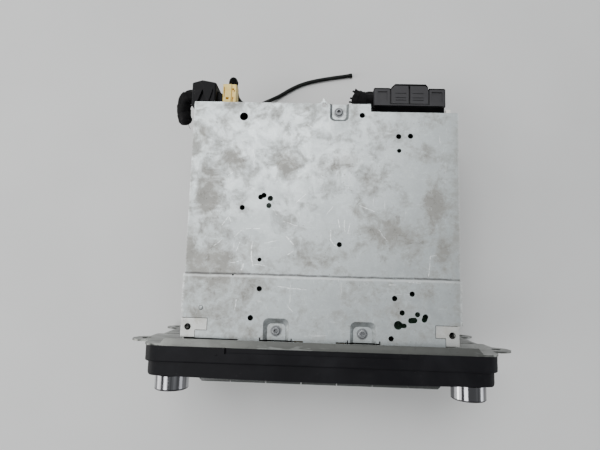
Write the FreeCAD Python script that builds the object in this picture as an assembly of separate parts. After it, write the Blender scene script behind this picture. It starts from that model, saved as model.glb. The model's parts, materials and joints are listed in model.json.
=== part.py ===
"""Double-height car radio, lying on its face-up side with the perforated cover on top.

Frame: X across the radio, +Y towards the rear sockets, +Z up through the cover, millimetres.
Y is measured from the rear face of the mounting plate while modelling; save() then moves
every part by SHIFT_Y so that the whole radio is centred on the origin.
"""
import FreeCAD
import Part
import math
import os

V = FreeCAD.Vector
SHIFT_Y = -77.1

# chassis
CH_HALF_W = 89.0          # half width over the cover
CH_Z0 = 5.5
CH_Z1 = 105.5
SHEET = 0.8
COVER_REAR = 161.5
COVER_REAR_R = 156.2      # rear edge right of the step
COVER_STEP_X = 30.8
COVER_FOLD_Y = 44.6
COVER_FRONT = 3.9
TAB_FRONT = 2.2           # front edge of the three tabs, bent down
FOLD_DROP = 0.7
SKIRT = 13.0
REAR_Y = 156.6
TRAY_WALL = 1.0

# mounting plate
PLATE_T = 1.2
PLATE_HALF_W = 112.5
EAR_HOLE_X = 118.5
EAR_HOLE_Z_UP = 84.5
EAR_HOLE_Z_LOW = 9.5
EAR_R = 9.3
EAR_HOLE_R = 3.1

# bezel
BEZ_H = 111.0
BEZ_HALF_W = 111.5
BEZ_BACK_D = 10.9
FRONT_HALF_W = 109.6
FRONT_INSET_Z = 1.4
FACE_Y = -20.5
FACE_R = 4916.0
WALL_IN_Y = -17.8

# face controls
KNOB_X = 96.0
KNOB_Z = 95.5
KNOB_R = 10.9
KNOB_BACK = -20.7
KNOB_TIP = -29.9
SHAFT_R = 3.0
KEY_EDGES = [-76.1, -56.0, -33.6, -11.2, 11.2, 33.6, 56.0, 76.1]
KEY_Z0 = 95.2
KEY_Z1 = 104.2
KEY_FACE = -23.1
KEY_GAP = 0.25
BUTTON_X = 90.5
BUTTON_ZS = [66.0, 44.0]
BUTTON_W = 20.0
BUTTON_H = 17.0

# disc path
SLOT_HALF_W = 63.0
SLOT_Z = 20.0
SLOT_H = 5.6
SPINDLE_Y = 78.0

BOARD_Z = 92.0


def box(x0, x1, y0, y1, z0, z1):
    return Part.makeBox(x1 - x0, y1 - y0, z1 - z0, V(x0, y0, z0))


def cyl_x(x0, x1, y, z, r):
    return Part.makeCylinder(r, x1 - x0, V(x0, y, z), V(1, 0, 0))


def cyl_y(x, y0, y1, z, r):
    return Part.makeCylinder(r, y1 - y0, V(x, y0, z), V(0, 1, 0))


def cyl_z(x, y, z0, z1, r):
    return Part.makeCylinder(r, z1 - z0, V(x, y, z0), V(0, 0, 1))


def fuse(shapes):
    out = shapes[0]
    for s in shapes[1:]:
        out = out.fuse(s)
    return out.removeSplitter()


def cut(shape, tools):
    for t in tools:
        shape = shape.cut(t)
    return shape


def group(shapes):
    return Part.makeCompound(shapes)


def fillet_where(shape, radius, test):
    """Fillet every edge whose end points satisfy test(edge)."""
    edges = [e for e in shape.Edges if test(e)]
    return shape.makeFillet(radius, edges) if edges else shape


def along(edge, axis):
    """True for a straight edge parallel to one of 'x', 'y', 'z'."""
    if edge.Curve.TypeId != "Part::GeomLine":
        return False
    a, b = edge.Vertexes[0].Point, edge.Vertexes[-1].Point
    d = b.sub(a)
    n = {"x": (d.y, d.z), "y": (d.x, d.z), "z": (d.x, d.y)}[axis]
    return abs(n[0]) < 1e-6 and abs(n[1]) < 1e-6


def round_box(x0, x1, y0, y1, z0, z1, r, axis):
    """Box with its four edges along one axis rounded."""
    return fillet_where(box(x0, x1, y0, y1, z0, z1), r, lambda e: along(e, axis))


def soft_box(x0, x1, y0, y1, z0, z1, r):
    b = box(x0, x1, y0, y1, z0, z1)
    return b.makeFillet(r, b.Edges)


def u_wire(x0, x1, y_open, y_end, r, z):
    """U outline: open end at y_open, round corners of radius r at y_end."""
    s = 1 if y_end > y_open else -1
    k = r * (1 - math.sqrt(0.5))
    a = V(x0, y_open, z)
    b = V(x0, y_end - s * r, z)
    c = V(x0 + r, y_end, z)
    d = V(x1 - r, y_end, z)
    e = V(x1, y_end - s * r, z)
    f = V(x1, y_open, z)
    m1 = V(x0 + k, y_end - s * k, z)
    m2 = V(x1 - k, y_end - s * k, z)
    return Part.Wire([
        Part.makeLine(a, b),
        Part.Arc(b, m1, c).toShape(),
        Part.makeLine(c, d),
        Part.Arc(d, m2, e).toShape(),
        Part.makeLine(e, f),
        Part.makeLine(f, a),
    ])


def recess(outer, inner, y_open, y_out, y_in, r, top, depth):
    """A pressed U recess that runs out at one edge: (metal to remove, metal to add)."""
    t = SHEET
    big = Part.makeLoft([
        u_wire(outer[0] - t, outer[1] + t, y_open, y_out, r + t, top),
        u_wire(inner[0] - t, inner[1] + t, y_open, y_in, r, top - depth - t),
    ], True, True)
    hollow = Part.makeLoft([
        u_wire(outer[0], outer[1], y_open - 2 * (1 if y_out > y_open else -1), y_out, r, top + 0.01),
        u_wire(inner[0], inner[1], y_open - 2 * (1 if y_out > y_open else -1), y_in, r * 0.8,
               top - depth),
    ], True, True)
    return big, big.cut(hollow)


def star(x, y, z0, z1, r):
    """Six-lobed screw drive."""
    lobes = [cyl_z(x + 0.7 * r * math.cos(a), y + 0.7 * r * math.sin(a), z0, z1, 0.34 * r)
             for a in [i * math.pi / 3 for i in range(6)]]
    return fuse([cyl_z(x, y, z0, z1, 0.68 * r)] + lobes)


def screw(x, y, seat, head_r, head_h, length):
    """Pan-head screw standing on z = seat with a six-lobed drive."""
    head = cyl_z(x, y, seat, seat + head_h, head_r)
    head = head.makeFillet(0.45 * head_h, [e for e in head.Edges
                                          if e.Vertexes[0].Z > seat + 0.9 * head_h
                                          and not along(e, "z")])
    flange = cyl_z(x, y, seat, seat + 0.5, head_r + 0.7)
    body = fuse([head, flange, cyl_z(x, y, seat - length, seat + 0.1, head_r * 0.52)])
    return body.cut(star(x, y, seat - 0.6, seat + head_h + 1, head_r * 0.52))


def tube(points, radius, label):
    """Round tube along straight runs joined by tangent arcs."""
    pts = [V(*p) for p in points]
    runs = [pts[i + 1].sub(pts[i]).Length for i in range(len(pts) - 1)]
    edges = []
    length = 0.0
    here = pts[0]
    radii = []
    for i in range(1, len(pts) - 1):
        back = pts[i - 1].sub(pts[i]).normalize()
        ahead = pts[i + 1].sub(pts[i]).normalize()
        turn = math.pi - back.getAngle(ahead)
        reach = 0.45 * min(runs[i - 1], runs[i])
        r = reach / math.tan(turn / 2)
        a = pts[i].add(V(back).multiply(reach))
        b = pts[i].add(V(ahead).multiply(reach))
        bis = V(back).add(ahead).normalize()
        centre = pts[i].add(V(bis).multiply(math.hypot(r, reach)))
        mid = centre.sub(V(bis).multiply(r))
        edges.append(Part.makeLine(here, a))
        edges.append(Part.Arc(a, mid, b).toShape())
        length += a.sub(here).Length + r * turn
        radii.append(round(r, 1))
        here = b
    edges.append(Part.makeLine(here, pts[-1]))
    length += pts[-1].sub(here).Length
    path = Part.Wire(edges)
    disc = Part.Wire([Part.makeCircle(radius, pts[0], pts[1].sub(pts[0]))])
    solid = path.makePipeShell([disc], True, False)
    want = math.pi * radius ** 2 * length
    print(label, "length", round(length, 1), "radii", radii,
          "volume ratio", round(solid.Volume / want, 4))
    return solid


def save(name, shape):
    shape = shape.copy()
    shape.translate(V(0, SHIFT_Y, 0))
    print(name, "solids", len(shape.Solids), "valid", shape.isValid())
    shape.exportStep("parts/" + name + ".step")


# ---------------------------------------------------------------- cover

COVER_HOLES = [  # x, y, diameter
    (-54.9, 151.4, 5.7), (25.1, 153.6, 3.7), (49.5, 139.4, 3.6), (57.3, 139.8, 3.6),
    (49.8, 129.6, 2.9), (-53.3, 88.9, 3.5), (-41.3, 96.2, 3.6), (-39.2, 97.4, 3.6),
    (-34.9, 95.4, 3.7), (-35.7, 90.6, 3.6), (11.3, 66.0, 3.4), (-40.5, 54.8, 2.7),
    (-39.8, 36.0, 3.5), (58.2, 35.5, 3.4), (47.1, 32.4, 3.5), (-44.8, 17.4, 3.6),
    (51.9, 23.5, 3.4), (61.6, 22.7, 3.3), (49.4, 15.7, 5.5), (45.0, 7.2, 3.4),
]
COVER_SLOTS = [  # start, end, width
    ((49.4, 15.7), (53.4, 15.4), 2.9), ((57.4, 18.8), (59.8, 19.0), 3.5),
    ((66.6, 21.4), (65.9, 19.6), 3.5),
]
COVER_TABS = [(-52.4, -38.6), (-10.6, 10.1), (38.3, 59.0)]
SCREW_REAR = (9.4, 155.8)
SCREW_FRONT = [(-28.2, 9.6), (26.9, 9.4)]


def slot_z(p, q, width, z0, z1):
    d = math.hypot(q[0] - p[0], q[1] - p[1])
    bar = Part.makeBox(d, width, z1 - z0, V(0, -width / 2, z0))
    bar.rotate(V(0, 0, 0), V(0, 0, 1), math.degrees(math.atan2(q[1] - p[1], q[0] - p[0])))
    bar.translate(V(p[0], p[1], 0))
    return fuse([bar, cyl_z(p[0], p[1], z0, z1, width / 2), cyl_z(q[0], q[1], z0, z1, width / 2)])


def corner_outline(side, gap):
    """Footprint of the light bracket flange at a front corner, grown by gap."""
    z0, z1 = CH_Z1 - 3, CH_Z1 + 3
    if side < 0:
        return fuse([
            box(-92, -72.7 + gap, 9.0 - gap, 16.2 + gap, z0, z1),
            box(-92, -80.3 + gap, 0, 9.0, z0, z1),
        ])
    return fuse([
        box(73.1 - gap, 92, 8.6 - gap, 16.0 + gap, z0, z1),
        box(79.4 - gap, 92, 0, 8.7, z0, z1),
    ])


def make_cover():
    w, t = CH_HALF_W, SHEET
    top_r = CH_Z1 - FOLD_DROP
    rear = box(-w, w, COVER_FOLD_Y, COVER_REAR, top_r - t, top_r)
    rear = rear.cut(box(COVER_STEP_X, w + 1, COVER_REAR_R, COVER_REAR + 1, 0, 120))
    front = box(-w - 0.9, w + 0.9, COVER_FRONT, COVER_FOLD_Y, CH_Z1 - t, CH_Z1)
    fold = box(-w, w, COVER_FOLD_Y - 0.8, COVER_FOLD_Y + 0.4, top_r - t, CH_Z1 - 0.25)
    parts = [rear, front, fold]
    for s in (-1, 1):
        a, b = sorted((s * w, s * (w - t)))
        parts.append(box(a, b, COVER_FOLD_Y, COVER_REAR_R - 0.4, CH_Z1 - SKIRT, top_r))
        a, b = sorted((s * (w + 0.9), s * (w + 0.9 - t)))
        parts.append(box(a, b, 16.6, COVER_FOLD_Y, CH_Z1 - SKIRT, CH_Z1))
    for x0, x1 in COVER_TABS:
        parts.append(box(x0, x1, TAB_FRONT, COVER_FRONT + 0.1, CH_Z1 - t, CH_Z1))
        parts.append(box(x0, x1, TAB_FRONT, TAB_FRONT + t, CH_Z1 - 4.5, CH_Z1))
    parts.append(box(58.9, w + 0.9, 3.1, COVER_FRONT + 0.1, CH_Z1 - t, CH_Z1))
    # small earthing lug at the rear edge
    lug = fuse([cyl_z(-0.9, 160.6, top_r - t, top_r, 2.7), Part.Face(Part.makePolygon([
        V(-2.4, 162.0, top_r - t), V(0.6, 162.0, top_r - t), V(-1.3, 165.6, top_r - t),
        V(-2.4, 162.0, top_r - t)])).extrude(V(0, 0, t))])
    parts.append(lug)
    cover = fuse(parts)
    dents = [
        recess((3.2, 16.1), (4.9, 14.4), COVER_REAR, 149.3, 150.9, 3.2, top_r, 1.6),
        recess((-36.5, -19.9), (-33.8, -22.2), COVER_FRONT, 17.6, 14.2, 3.6, CH_Z1, 1.6),
        recess((19.0, 35.4), (21.2, 33.0), COVER_FRONT, 17.0, 13.8, 3.6, CH_Z1, 1.6),
    ]
    for big, pressed in dents:
        cover = cover.cut(big).fuse(pressed)
    tools = [cyl_z(x, y, 90, 110, d / 2) for x, y, d in COVER_HOLES]
    tools += [slot_z(p, q, wd, 100, 110) for p, q, wd in COVER_SLOTS]
    tools += [corner_outline(-1, 0.35), corner_outline(1, 0.35)]
    tools += [cyl_z(-0.7, 160.4, 100, 110, 1.75), cyl_z(-57.3, 44.5, 90, 110, 0.6)]
    for x, y in [SCREW_REAR] + SCREW_FRONT:
        tools.append(cyl_z(x, y, 90, 110, 1.75))
    # relief ticks beside the front recesses
    for x in (-38.3, -18.2, 17.5, 37.9):
        tools.append(box(x - 0.4, x + 0.4, COVER_FRONT - 1, COVER_FRONT + 1.4, 100, 110))
    cover = cut(cover, tools)
    bump = Part.makeSphere(3.0, V(-77.1, 23.0, CH_Z1 - 2.55))
    cover = cover.fuse(bump.common(box(-80, -74, 20, 26, CH_Z1 - 0.3, CH_Z1 + 1)))
    return cover.removeSplitter()


def make_tray():
    w = CH_HALF_W - SHEET - 0.05
    t = TRAY_WALL
    y1 = REAR_Y
    floor = box(-w, w, 0, y1, CH_Z0, CH_Z0 + t)
    parts = [floor]
    for s in (-1, 1):
        a, b = sorted((s * w, s * (w - t)))
        parts.append(box(a, b, 16.6, y1, CH_Z0, CH_Z1 - FOLD_DROP - SHEET))
        a, b = sorted((s * w, s * (w - 6)))
        parts.append(box(a, b, 16.6, y1 - 2, CH_Z1 - FOLD_DROP - SHEET - t,
                         CH_Z1 - FOLD_DROP - SHEET))
    tray = fuse(parts)
    tools = []
    for s in (-1, 1):
        for i in range(9):
            tools.append(cyl_x(s * w - 3, s * w + 3, 40 + 10 * i, 62, 2.6))
        for y in (28, 92, 140):
            tools.append(cyl_x(s * w - 3, s * w + 3, y, 40, 2.1))
        for y in (28, 140):
            tools.append(cyl_x(s * w - 3, s * w + 3, y, 78, 2.1))
    for i in range(6):
        for j in range(4):
            tools.append(round_box(-70 + 26 * i, -56 + 26 * i, 30 + 30 * j, 33.5 + 30 * j,
                                   0, 10, 1.7, "z"))
    return cut(tray, tools)


def make_bracket(s):
    """Side bracket that ties the chassis to the mounting plate; its flange shows on top."""
    outer = 89.5 if s < 0 else 87.7
    t = 1.0
    inner = outer - t
    lap = CH_HALF_W - SHEET - 0.05 - TRAY_WALL
    edge = 4.3 if s < 0 else 3.6
    top = corner_outline(s, 0).common(box(-outer, outer, edge, 20, CH_Z1 - SHEET, CH_Z1))
    wa, wb = sorted((s * outer, s * inner))
    wall = box(wa, wb, 0, 16.2, CH_Z0 + 4, CH_Z1 - 6).fuse(box(wa, wb, edge, 16.2, CH_Z1 - 7, CH_Z1))
    step_a, step_b = sorted((s * outer, s * (lap - t)))
    jog = box(step_a, step_b, 9.0, 10.0, CH_Z0 + 8, CH_Z1 - 6)
    a, b = sorted((s * lap, s * (lap - t)))
    tail = box(a, b, 9.0, 34.0, CH_Z0 + 8, CH_Z1 - 6)
    hole_x, hole_y = (-85.0, 10.7) if s < 0 else (83.4, 10.3)
    body = fuse([top, wall, jog, tail])
    tools = [cyl_z(hole_x, hole_y, 100, 110, 2.15)]
    tools += [cyl_x(a - 1, b + 1, 28, z, 2.1) for z in (40, 78)]
    return cut(body, tools)


# ---------------------------------------------------------------- mounting plate

def prism_xz(half_w, z0, z1, r, y0, y1):
    return round_box(-half_w, half_w, y0, y1, z0, z1, r, "y")


def make_plate():
    y0, y1 = -PLATE_T, 0.0
    parts = [prism_xz(PLATE_HALF_W, 0.8, 110.4, 8.5, y0, y1)]
    for s in (-1, 1):
        for z in (EAR_HOLE_Z_UP, EAR_HOLE_Z_LOW):
            parts.append(cyl_y(s * EAR_HOLE_X, y0, y1, z, EAR_R))
            a, b = sorted((s * 105.0, s * EAR_HOLE_X))
            parts.append(box(a, b, y0, y1, z - EAR_R, z + EAR_R))
        a, b = sorted((s * 105.0, s * 119.5))
        parts.append(round_box(a, b, y0, y1, 58.5, EAR_HOLE_Z_UP, 1.5, "y"))
        a, b = sorted((s * 105.0, s * 115.5))
        parts.append(box(a, b, y0, y1, 14.0, 60.0))
    # narrow lip folded rearwards along the top edge
    lip = [(-101.0, -0.1), (-98.0, 3.6), (98.0, 3.6), (101.0, -0.1)]
    parts.append(Part.Face(Part.makePolygon([V(x, y, 109.2) for x, y in lip + lip[:1]])).extrude(V(0, 0, 1.2)))
    # folded ledges under the two front cover screws
    for x, y in SCREW_FRONT:
        parts.append(box(x - 6, x + 6, 5.0, 15.0, 101.8, 102.8))
        parts.append(box(x - 6, x + 6, 5.0, 6.0, 78.0, 102.8))
        parts.append(box(x - 6, x + 6, -0.5, 6.0, 78.0, 79.0))
    plate = fuse(parts)
    tools = [cyl_z(x, y, 95, 110, 1.5) for x, y in SCREW_FRONT]
    for s in (-1, 1):
        for z in (EAR_HOLE_Z_UP, EAR_HOLE_Z_LOW):
            tools.append(cyl_y(s * EAR_HOLE_X, -5, 5, z, EAR_HOLE_R))
        a, b = sorted((s * 100.5, s * 113.0))
        tools.append(round_box(a, b, -5, 5, 56.6, 58.8, 1.0, "y"))
        tools.append(round_box(s * 75.5 - 6.3, s * 75.5 + 6.3, -5, 5, 101.8, 104.2, 1.0, "y"))
        for z in (30, 46, 72):
            tools.append(cyl_y(s * 95, -5, 5, z, 2.0))
        tools.append(cyl_y(s * 101, -5, 5, 12, 1.7))
    tools.append(round_box(-SLOT_HALF_W - 2, SLOT_HALF_W + 2, -5, 5, 15.5, 28.5, 2.0, "y"))
    tools.append(round_box(-20, 19, -5, 5, 82.0, 92.0, 2.0, "y"))
    return cut(plate, tools)


# ---------------------------------------------------------------- bezel and fascia

FASCIA_HALF_W = 73.0
FASCIA_Z0 = 31.0
FASCIA_Z1 = 91.0
LENS_HALF_W = 54.0
LENS_Z0 = 39.0
LENS_Z1 = 83.0


def make_bezel():
    back = prism_xz(BEZ_HALF_W, 0, BEZ_H, 8.0, -BEZ_BACK_D, -PLATE_T)
    back = fillet_where(back, 0.8, lambda e: abs(e.CenterOfMass.y + BEZ_BACK_D) < 1e-3)
    front = box(-FRONT_HALF_W, FRONT_HALF_W, FACE_Y - 1, -BEZ_BACK_D + 0.5, 0, BEZ_H)
    front = front.common(Part.makeCylinder(FACE_R, BEZ_H, V(0, FACE_Y + FACE_R, 0)))
    front = fillet_where(front, 3.6, lambda e: along(e, "z") and e.CenterOfMass.y < -15)
    front = front.common(prism_xz(FRONT_HALF_W, FRONT_INSET_Z, BEZ_H - FRONT_INSET_Z, 7.0,
                                  FACE_Y - 3, -BEZ_BACK_D + 0.6))
    body = back.fuse(front)
    body = body.cut(round_box(-106.9, 106.9, WALL_IN_Y, 0, 4.2, 106.9, 4.0, "y"))
    for s in (-1, 1):
        body = body.fuse(cyl_y(s * 101, WALL_IN_Y - 0.5, -PLATE_T, 12, 3.4))
        body = body.fuse(box(s * 75.5 - 5.8, s * 75.5 + 5.8, -3.0, 1.0, 102.3, 103.7))
        body = body.fuse(box(s * 75.5 - 5.8, s * 75.5 + 5.8, -3.2, -PLATE_T, 102.3, 107.2))
    tools = []
    # slot lip recess and notch on the top of the back band
    tools.append(box(-58.8, 55.0, -4.3, 1, BEZ_H - 0.6, BEZ_H + 1))
    tools.append(box(-59.5, -58.3, -4.9, 1, BEZ_H - 2.2, BEZ_H + 1))
    tools.append(cyl_z(-64.2, -5.8, BEZ_H - 0.5, BEZ_H + 1, 0.7))
    # openings in the front wall
    tools.append(round_box(-FASCIA_HALF_W, FASCIA_HALF_W, -30, WALL_IN_Y + 1, FASCIA_Z0, FASCIA_Z1,
                           2.0, "y"))
    tools.append(box(KEY_EDGES[0] - 0.3, KEY_EDGES[-1] + 0.3, -30, WALL_IN_Y + 1,
                     KEY_Z0 - 0.35, KEY_Z1 + 0.35))
    tools.append(round_box(-SLOT_HALF_W, SLOT_HALF_W, -30, WALL_IN_Y + 1,
                           SLOT_Z - SLOT_H / 2, SLOT_Z + SLOT_H / 2, 1.2, "y"))
    tools.append(round_box(75.0 - 0.35, 93.0 + 0.35, -30, WALL_IN_Y + 1, 15.65, 24.35, 1.5, "y"))
    for s in (-1, 1):
        tools.append(cyl_y(s * KNOB_X, -30, WALL_IN_Y + 1, KNOB_Z, 4.2))
        tools.append(cyl_y(s * 101, -12, 1, 12, 1.3))
        for z in BUTTON_ZS:
            tools.append(round_box(s * BUTTON_X - BUTTON_W / 2 - 0.35, s * BUTTON_X + BUTTON_W / 2 + 0.35,
                                   -30, WALL_IN_Y + 1, z - BUTTON_H / 2 - 0.35,
                                   z + BUTTON_H / 2 + 0.35, 2.0, "y"))
    return cut(body, tools)


def make_fascia():
    g = 0.3
    plate = round_box(-FASCIA_HALF_W + g, FASCIA_HALF_W - g, -20.1, WALL_IN_Y, FASCIA_Z0 + g,
                      FASCIA_Z1 - g, 1.8, "y")
    rim = box(-FASCIA_HALF_W - 2.0, FASCIA_HALF_W + 2.0, WALL_IN_Y, WALL_IN_Y + 1.2,
              FASCIA_Z0 - 2, FASCIA_Z1 + 2)
    body = fuse([plate, rim])
    win = round_box(-LENS_HALF_W, LENS_HALF_W, -30, 0, LENS_Z0, LENS_Z1, 2.0, "y")
    body = body.cut(win)
    ledge = box(-LENS_HALF_W - 0.5, LENS_HALF_W + 0.5, WALL_IN_Y, WALL_IN_Y + 1.2, LENS_Z0 - 0.5,
                LENS_Z1 + 0.5)
    ledge = ledge.cut(box(-LENS_HALF_W + 2, LENS_HALF_W - 2, -30, 0, LENS_Z0 + 2, LENS_Z1 - 2))
    return fuse([body, ledge])


def make_lens():
    g = 0.2
    return round_box(-LENS_HALF_W + g, LENS_HALF_W - g, -19.9, WALL_IN_Y, LENS_Z0 + g, LENS_Z1 - g,
                     1.8, "y")


def make_lcd():
    body = box(-52, 52, -15.2, -9.0, 40.0, 82.0)
    frame = box(-53.5, 53.5, -15.9, -14.6, 38.8, 83.2)
    frame = frame.cut(box(-48, 48, -20, 0, 43.5, 78.5))
    return fuse([body, frame])


def make_front_board():
    board = box(-104.5, 104.5, -9.0, -7.4, 28.5, 105.0)
    chips = [box(-40, -28, -7.4, -5.6, 50, 62), box(-10, 2, -7.4, -5.8, 44, 56),
             box(30, 44, -7.4, -5.4, 60, 70), box(-70, -60, -7.4, -5.0, 70, 76),
             box(60, 66, -7.4, -4.8, 40, 52)]
    parts = [board] + chips
    for i in range(7):
        x = 0.5 * (KEY_EDGES[i] + KEY_EDGES[i + 1])
        parts.append(box(x - 3, x + 3, -10.9, -9.0, 96.7, 102.7))
    for s in (-1, 1):
        for z in BUTTON_ZS:
            parts.append(box(s * BUTTON_X - 3, s * BUTTON_X + 3, -10.9, -9.0, z - 3, z + 3))
    parts.append(box(80.0, 88.0, -10.9, -9.0, 29.0, 33.0))
    parts.append(box(-20, 20, -7.4, -3.0, 86.0, 91.0))
    board = fuse(parts)
    return cut(board, [cyl_y(x, -12, 0, z, 1.6) for x in (-100, 100) for z in (32, 84)])


def make_felt():
    """Felt dust frame behind the disc slot."""
    h = SLOT_H / 2
    pad = box(-SLOT_HALF_W - 2, SLOT_HALF_W + 2, WALL_IN_Y, WALL_IN_Y + 0.9, SLOT_Z - h - 1.8, SLOT_Z + h + 1.8)
    return pad.cut(box(-SLOT_HALF_W + 0.6, SLOT_HALF_W - 0.6, -20, -10, SLOT_Z - h + 0.45, SLOT_Z + h - 0.45))


def make_encoder(s):
    x = s * KNOB_X
    body = box(x - 6.2, x + 6.2, -15.2, -9.0, KNOB_Z - 6.2, KNOB_Z + 6.2)
    neck = cyl_y(x, -17.2, -15.2, KNOB_Z, 4.6)
    return fuse([body, neck]).cut(cyl_y(x, -20, -10.2, KNOB_Z, SHAFT_R + 0.05))


def make_shaft(s):
    """Push post of the encoder: slides into the encoder, the knob turns on it."""
    x = s * KNOB_X
    post = cyl_y(x, -27.7, -10.9, KNOB_Z, SHAFT_R)
    return post.makeChamfer(0.4, [e for e in post.Edges if not along(e, "y")])


def make_knob(s):
    """Chrome sleeve with a boss that runs on the post."""
    x = s * KNOB_X
    skin = cyl_y(x, KNOB_TIP, KNOB_BACK, KNOB_Z, KNOB_R)
    edges = [e for e in skin.Edges if not along(e, "y")]
    front = [e for e in edges if e.CenterOfMass.y < KNOB_TIP + 0.1]
    skin = skin.makeChamfer(0.6, front)
    hollow = cyl_y(x, -27.4, KNOB_BACK + 1, KNOB_Z, KNOB_R - 1.4)
    seat = cyl_y(x, KNOB_TIP - 1, -28.9, KNOB_Z, KNOB_R - 1.7)
    boss = cyl_y(x, -28.2, KNOB_BACK + 0.4, KNOB_Z, 5.2)
    body = fuse([skin.cut(hollow).cut(seat), boss.common(cyl_y(x, -28.2, KNOB_BACK, KNOB_Z, 5.2))])
    body = body.cut(cyl_y(x, -28.0, KNOB_BACK + 2, KNOB_Z, SHAFT_R + 0.06))
    return body


def make_cap(s):
    """Dark face of the knob with a pointer groove."""
    x = s * KNOB_X
    disc = cyl_y(x, -30.0, -28.9, KNOB_Z, KNOB_R - 1.75)
    dish = Part.makeSphere(60.0, V(x, -30.0 - 59.7, KNOB_Z))
    disc = disc.cut(dish)
    return disc.cut(box(x - 0.5, x + 0.5, -31, -29.3, KNOB_Z + 3.5, KNOB_Z + 8.0))


def make_key(i):
    """One piano key of the seven-key row: domed face, stem towards its switch."""
    x0 = KEY_EDGES[i] + KEY_GAP
    x1 = KEY_EDGES[i + 1] - KEY_GAP
    face = box(x0, x1, KEY_FACE, WALL_IN_Y + 1.0, KEY_Z0, KEY_Z1)
    if i == 0:
        face = face.makeChamfer(1.6, [e for e in face.Edges if along(e, "z")
                                      and e.CenterOfMass.y < -20 and e.CenterOfMass.x < x0 + 1])
    if i == 6:
        face = face.makeChamfer(1.6, [e for e in face.Edges if along(e, "z")
                                      and e.CenterOfMass.y < -20 and e.CenterOfMass.x > x1 - 1])
    face = fillet_where(face, 0.7, lambda e: along(e, "x") and e.CenterOfMass.y < -20)
    lip = box(x0, x1, WALL_IN_Y + 0.3, WALL_IN_Y + 1.3, KEY_Z0 - 1.2, KEY_Z1 + 1.2)
    xc = 0.5 * (x0 + x1)
    stem = box(xc - 2, xc + 2, WALL_IN_Y + 1, -12.0, 97.7, 101.7)
    return fuse([face, lip, stem])


def make_button(s, z):
    x = s * BUTTON_X
    w, h = BUTTON_W / 2, BUTTON_H / 2
    face = round_box(x - w, x + w, -21.0, WALL_IN_Y + 1, z - h, z + h, 1.8, "y")
    face = fillet_where(face, 0.5, lambda e: e.CenterOfMass.y < -20.99)
    lip = box(x - w - 1.2, x + w + 1.2, WALL_IN_Y + 0.3, WALL_IN_Y + 1.3, z - h - 1.2, z + h + 1.2)
    stem = box(x - 2, x + 2, WALL_IN_Y + 1, -12.0, z - 2, z + 2)
    return fuse([face, lip, stem])


def make_eject():
    face = round_box(75.0, 93.0, -21.2, WALL_IN_Y + 1, 16.0, 24.0, 1.2, "y")
    face = fillet_where(face, 0.5, lambda e: e.CenterOfMass.y < -21.19)
    lip = box(74.0, 94.0, WALL_IN_Y + 0.3, WALL_IN_Y + 1.3, 15.0, 25.0)
    arm = box(82.0, 86.0, -16.6, -12.0, 20.0, 32.0)
    return fuse([face, lip, arm])


# ---------------------------------------------------------------- rear

PLUG_X0, PLUG_X1 = 34.6, 85.4
PLUG_Z0, PLUG_Z1 = 68.5, 89.5
AUX_X0, AUX_X1 = -94.4, -77.4
COAX_X = -68.4
COAX_Z = 84.0


def make_rear_panel():
    panel = box(-87.1, 87.1, REAR_Y - 1.2, REAR_Y, CH_Z0 + TRAY_WALL, 103.9)
    panel = panel.cut(box(2, 17.5, 150, 160, 102.0, 110))
    # folded ledge under the rear cover screw
    panel = fuse([panel, box(3.4, 16, 149, REAR_Y, 101.0, 102.0)])
    tools = [cyl_z(SCREW_REAR[0], SCREW_REAR[1], 95, 104, 1.5),
        box(PLUG_X0 + 0.6, PLUG_X1 - 0.6, 150, 160, PLUG_Z0 + 0.6, PLUG_Z1 - 0.3),
        box(-87.2, AUX_X1 + 0.3, 150, 160, 77.7, 93.8),
        box(COAX_X - 5.3, COAX_X + 5.3, 150, 160, COAX_Z - 5.8, COAX_Z + 6.8),
    ]
    for x in (-70, -60, 40, 50, 60, 70):
        tools.append(round_box(x, x + 4, 150, 160, 20, 55, 1.9, "y"))
    for x in (-56, 26):
        tools.append(cyl_y(x, 150, 160, 64, 1.6))
    return cut(panel, tools)


def make_heatsink():
    base = box(-52, 22, REAR_Y, REAR_Y + 1.8, 30, 103.5)
    fins = [box(-52 + 6.0 * i, -50.4 + 6.0 * i, REAR_Y + 1.7, 161.2, 30, 103.5) for i in range(13)]
    sink = fuse([base] + fins)
    return sink.cut(box(0, 20, 150, 170, 99.8, 110))


def make_main_socket():
    shell = box(PLUG_X0 + 0.9, PLUG_X1 - 0.9, 136.0, 166.4, PLUG_Z0 + 0.9, PLUG_Z1 - 1.0)
    shell = shell.cut(box(PLUG_X0 + 2.5, PLUG_X1 - 2.5, 146.0, 170, PLUG_Z0 + 2.5, PLUG_Z1 - 2.2))
    pins = []
    for i in range(10):
        for j in range(2):
            pins.append(box(38.7 + 4.4 * i, 39.3 + 4.4 * i, 145.5, 160.0,
                            74.0 + 8 * j, 74.6 + 8 * j))
    foot = box(PLUG_X0 + 4, PLUG_X1 - 4, 137, 145, PLUG_Z1 - 1.4, BOARD_Z)
    return fuse([shell, foot] + pins)


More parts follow.
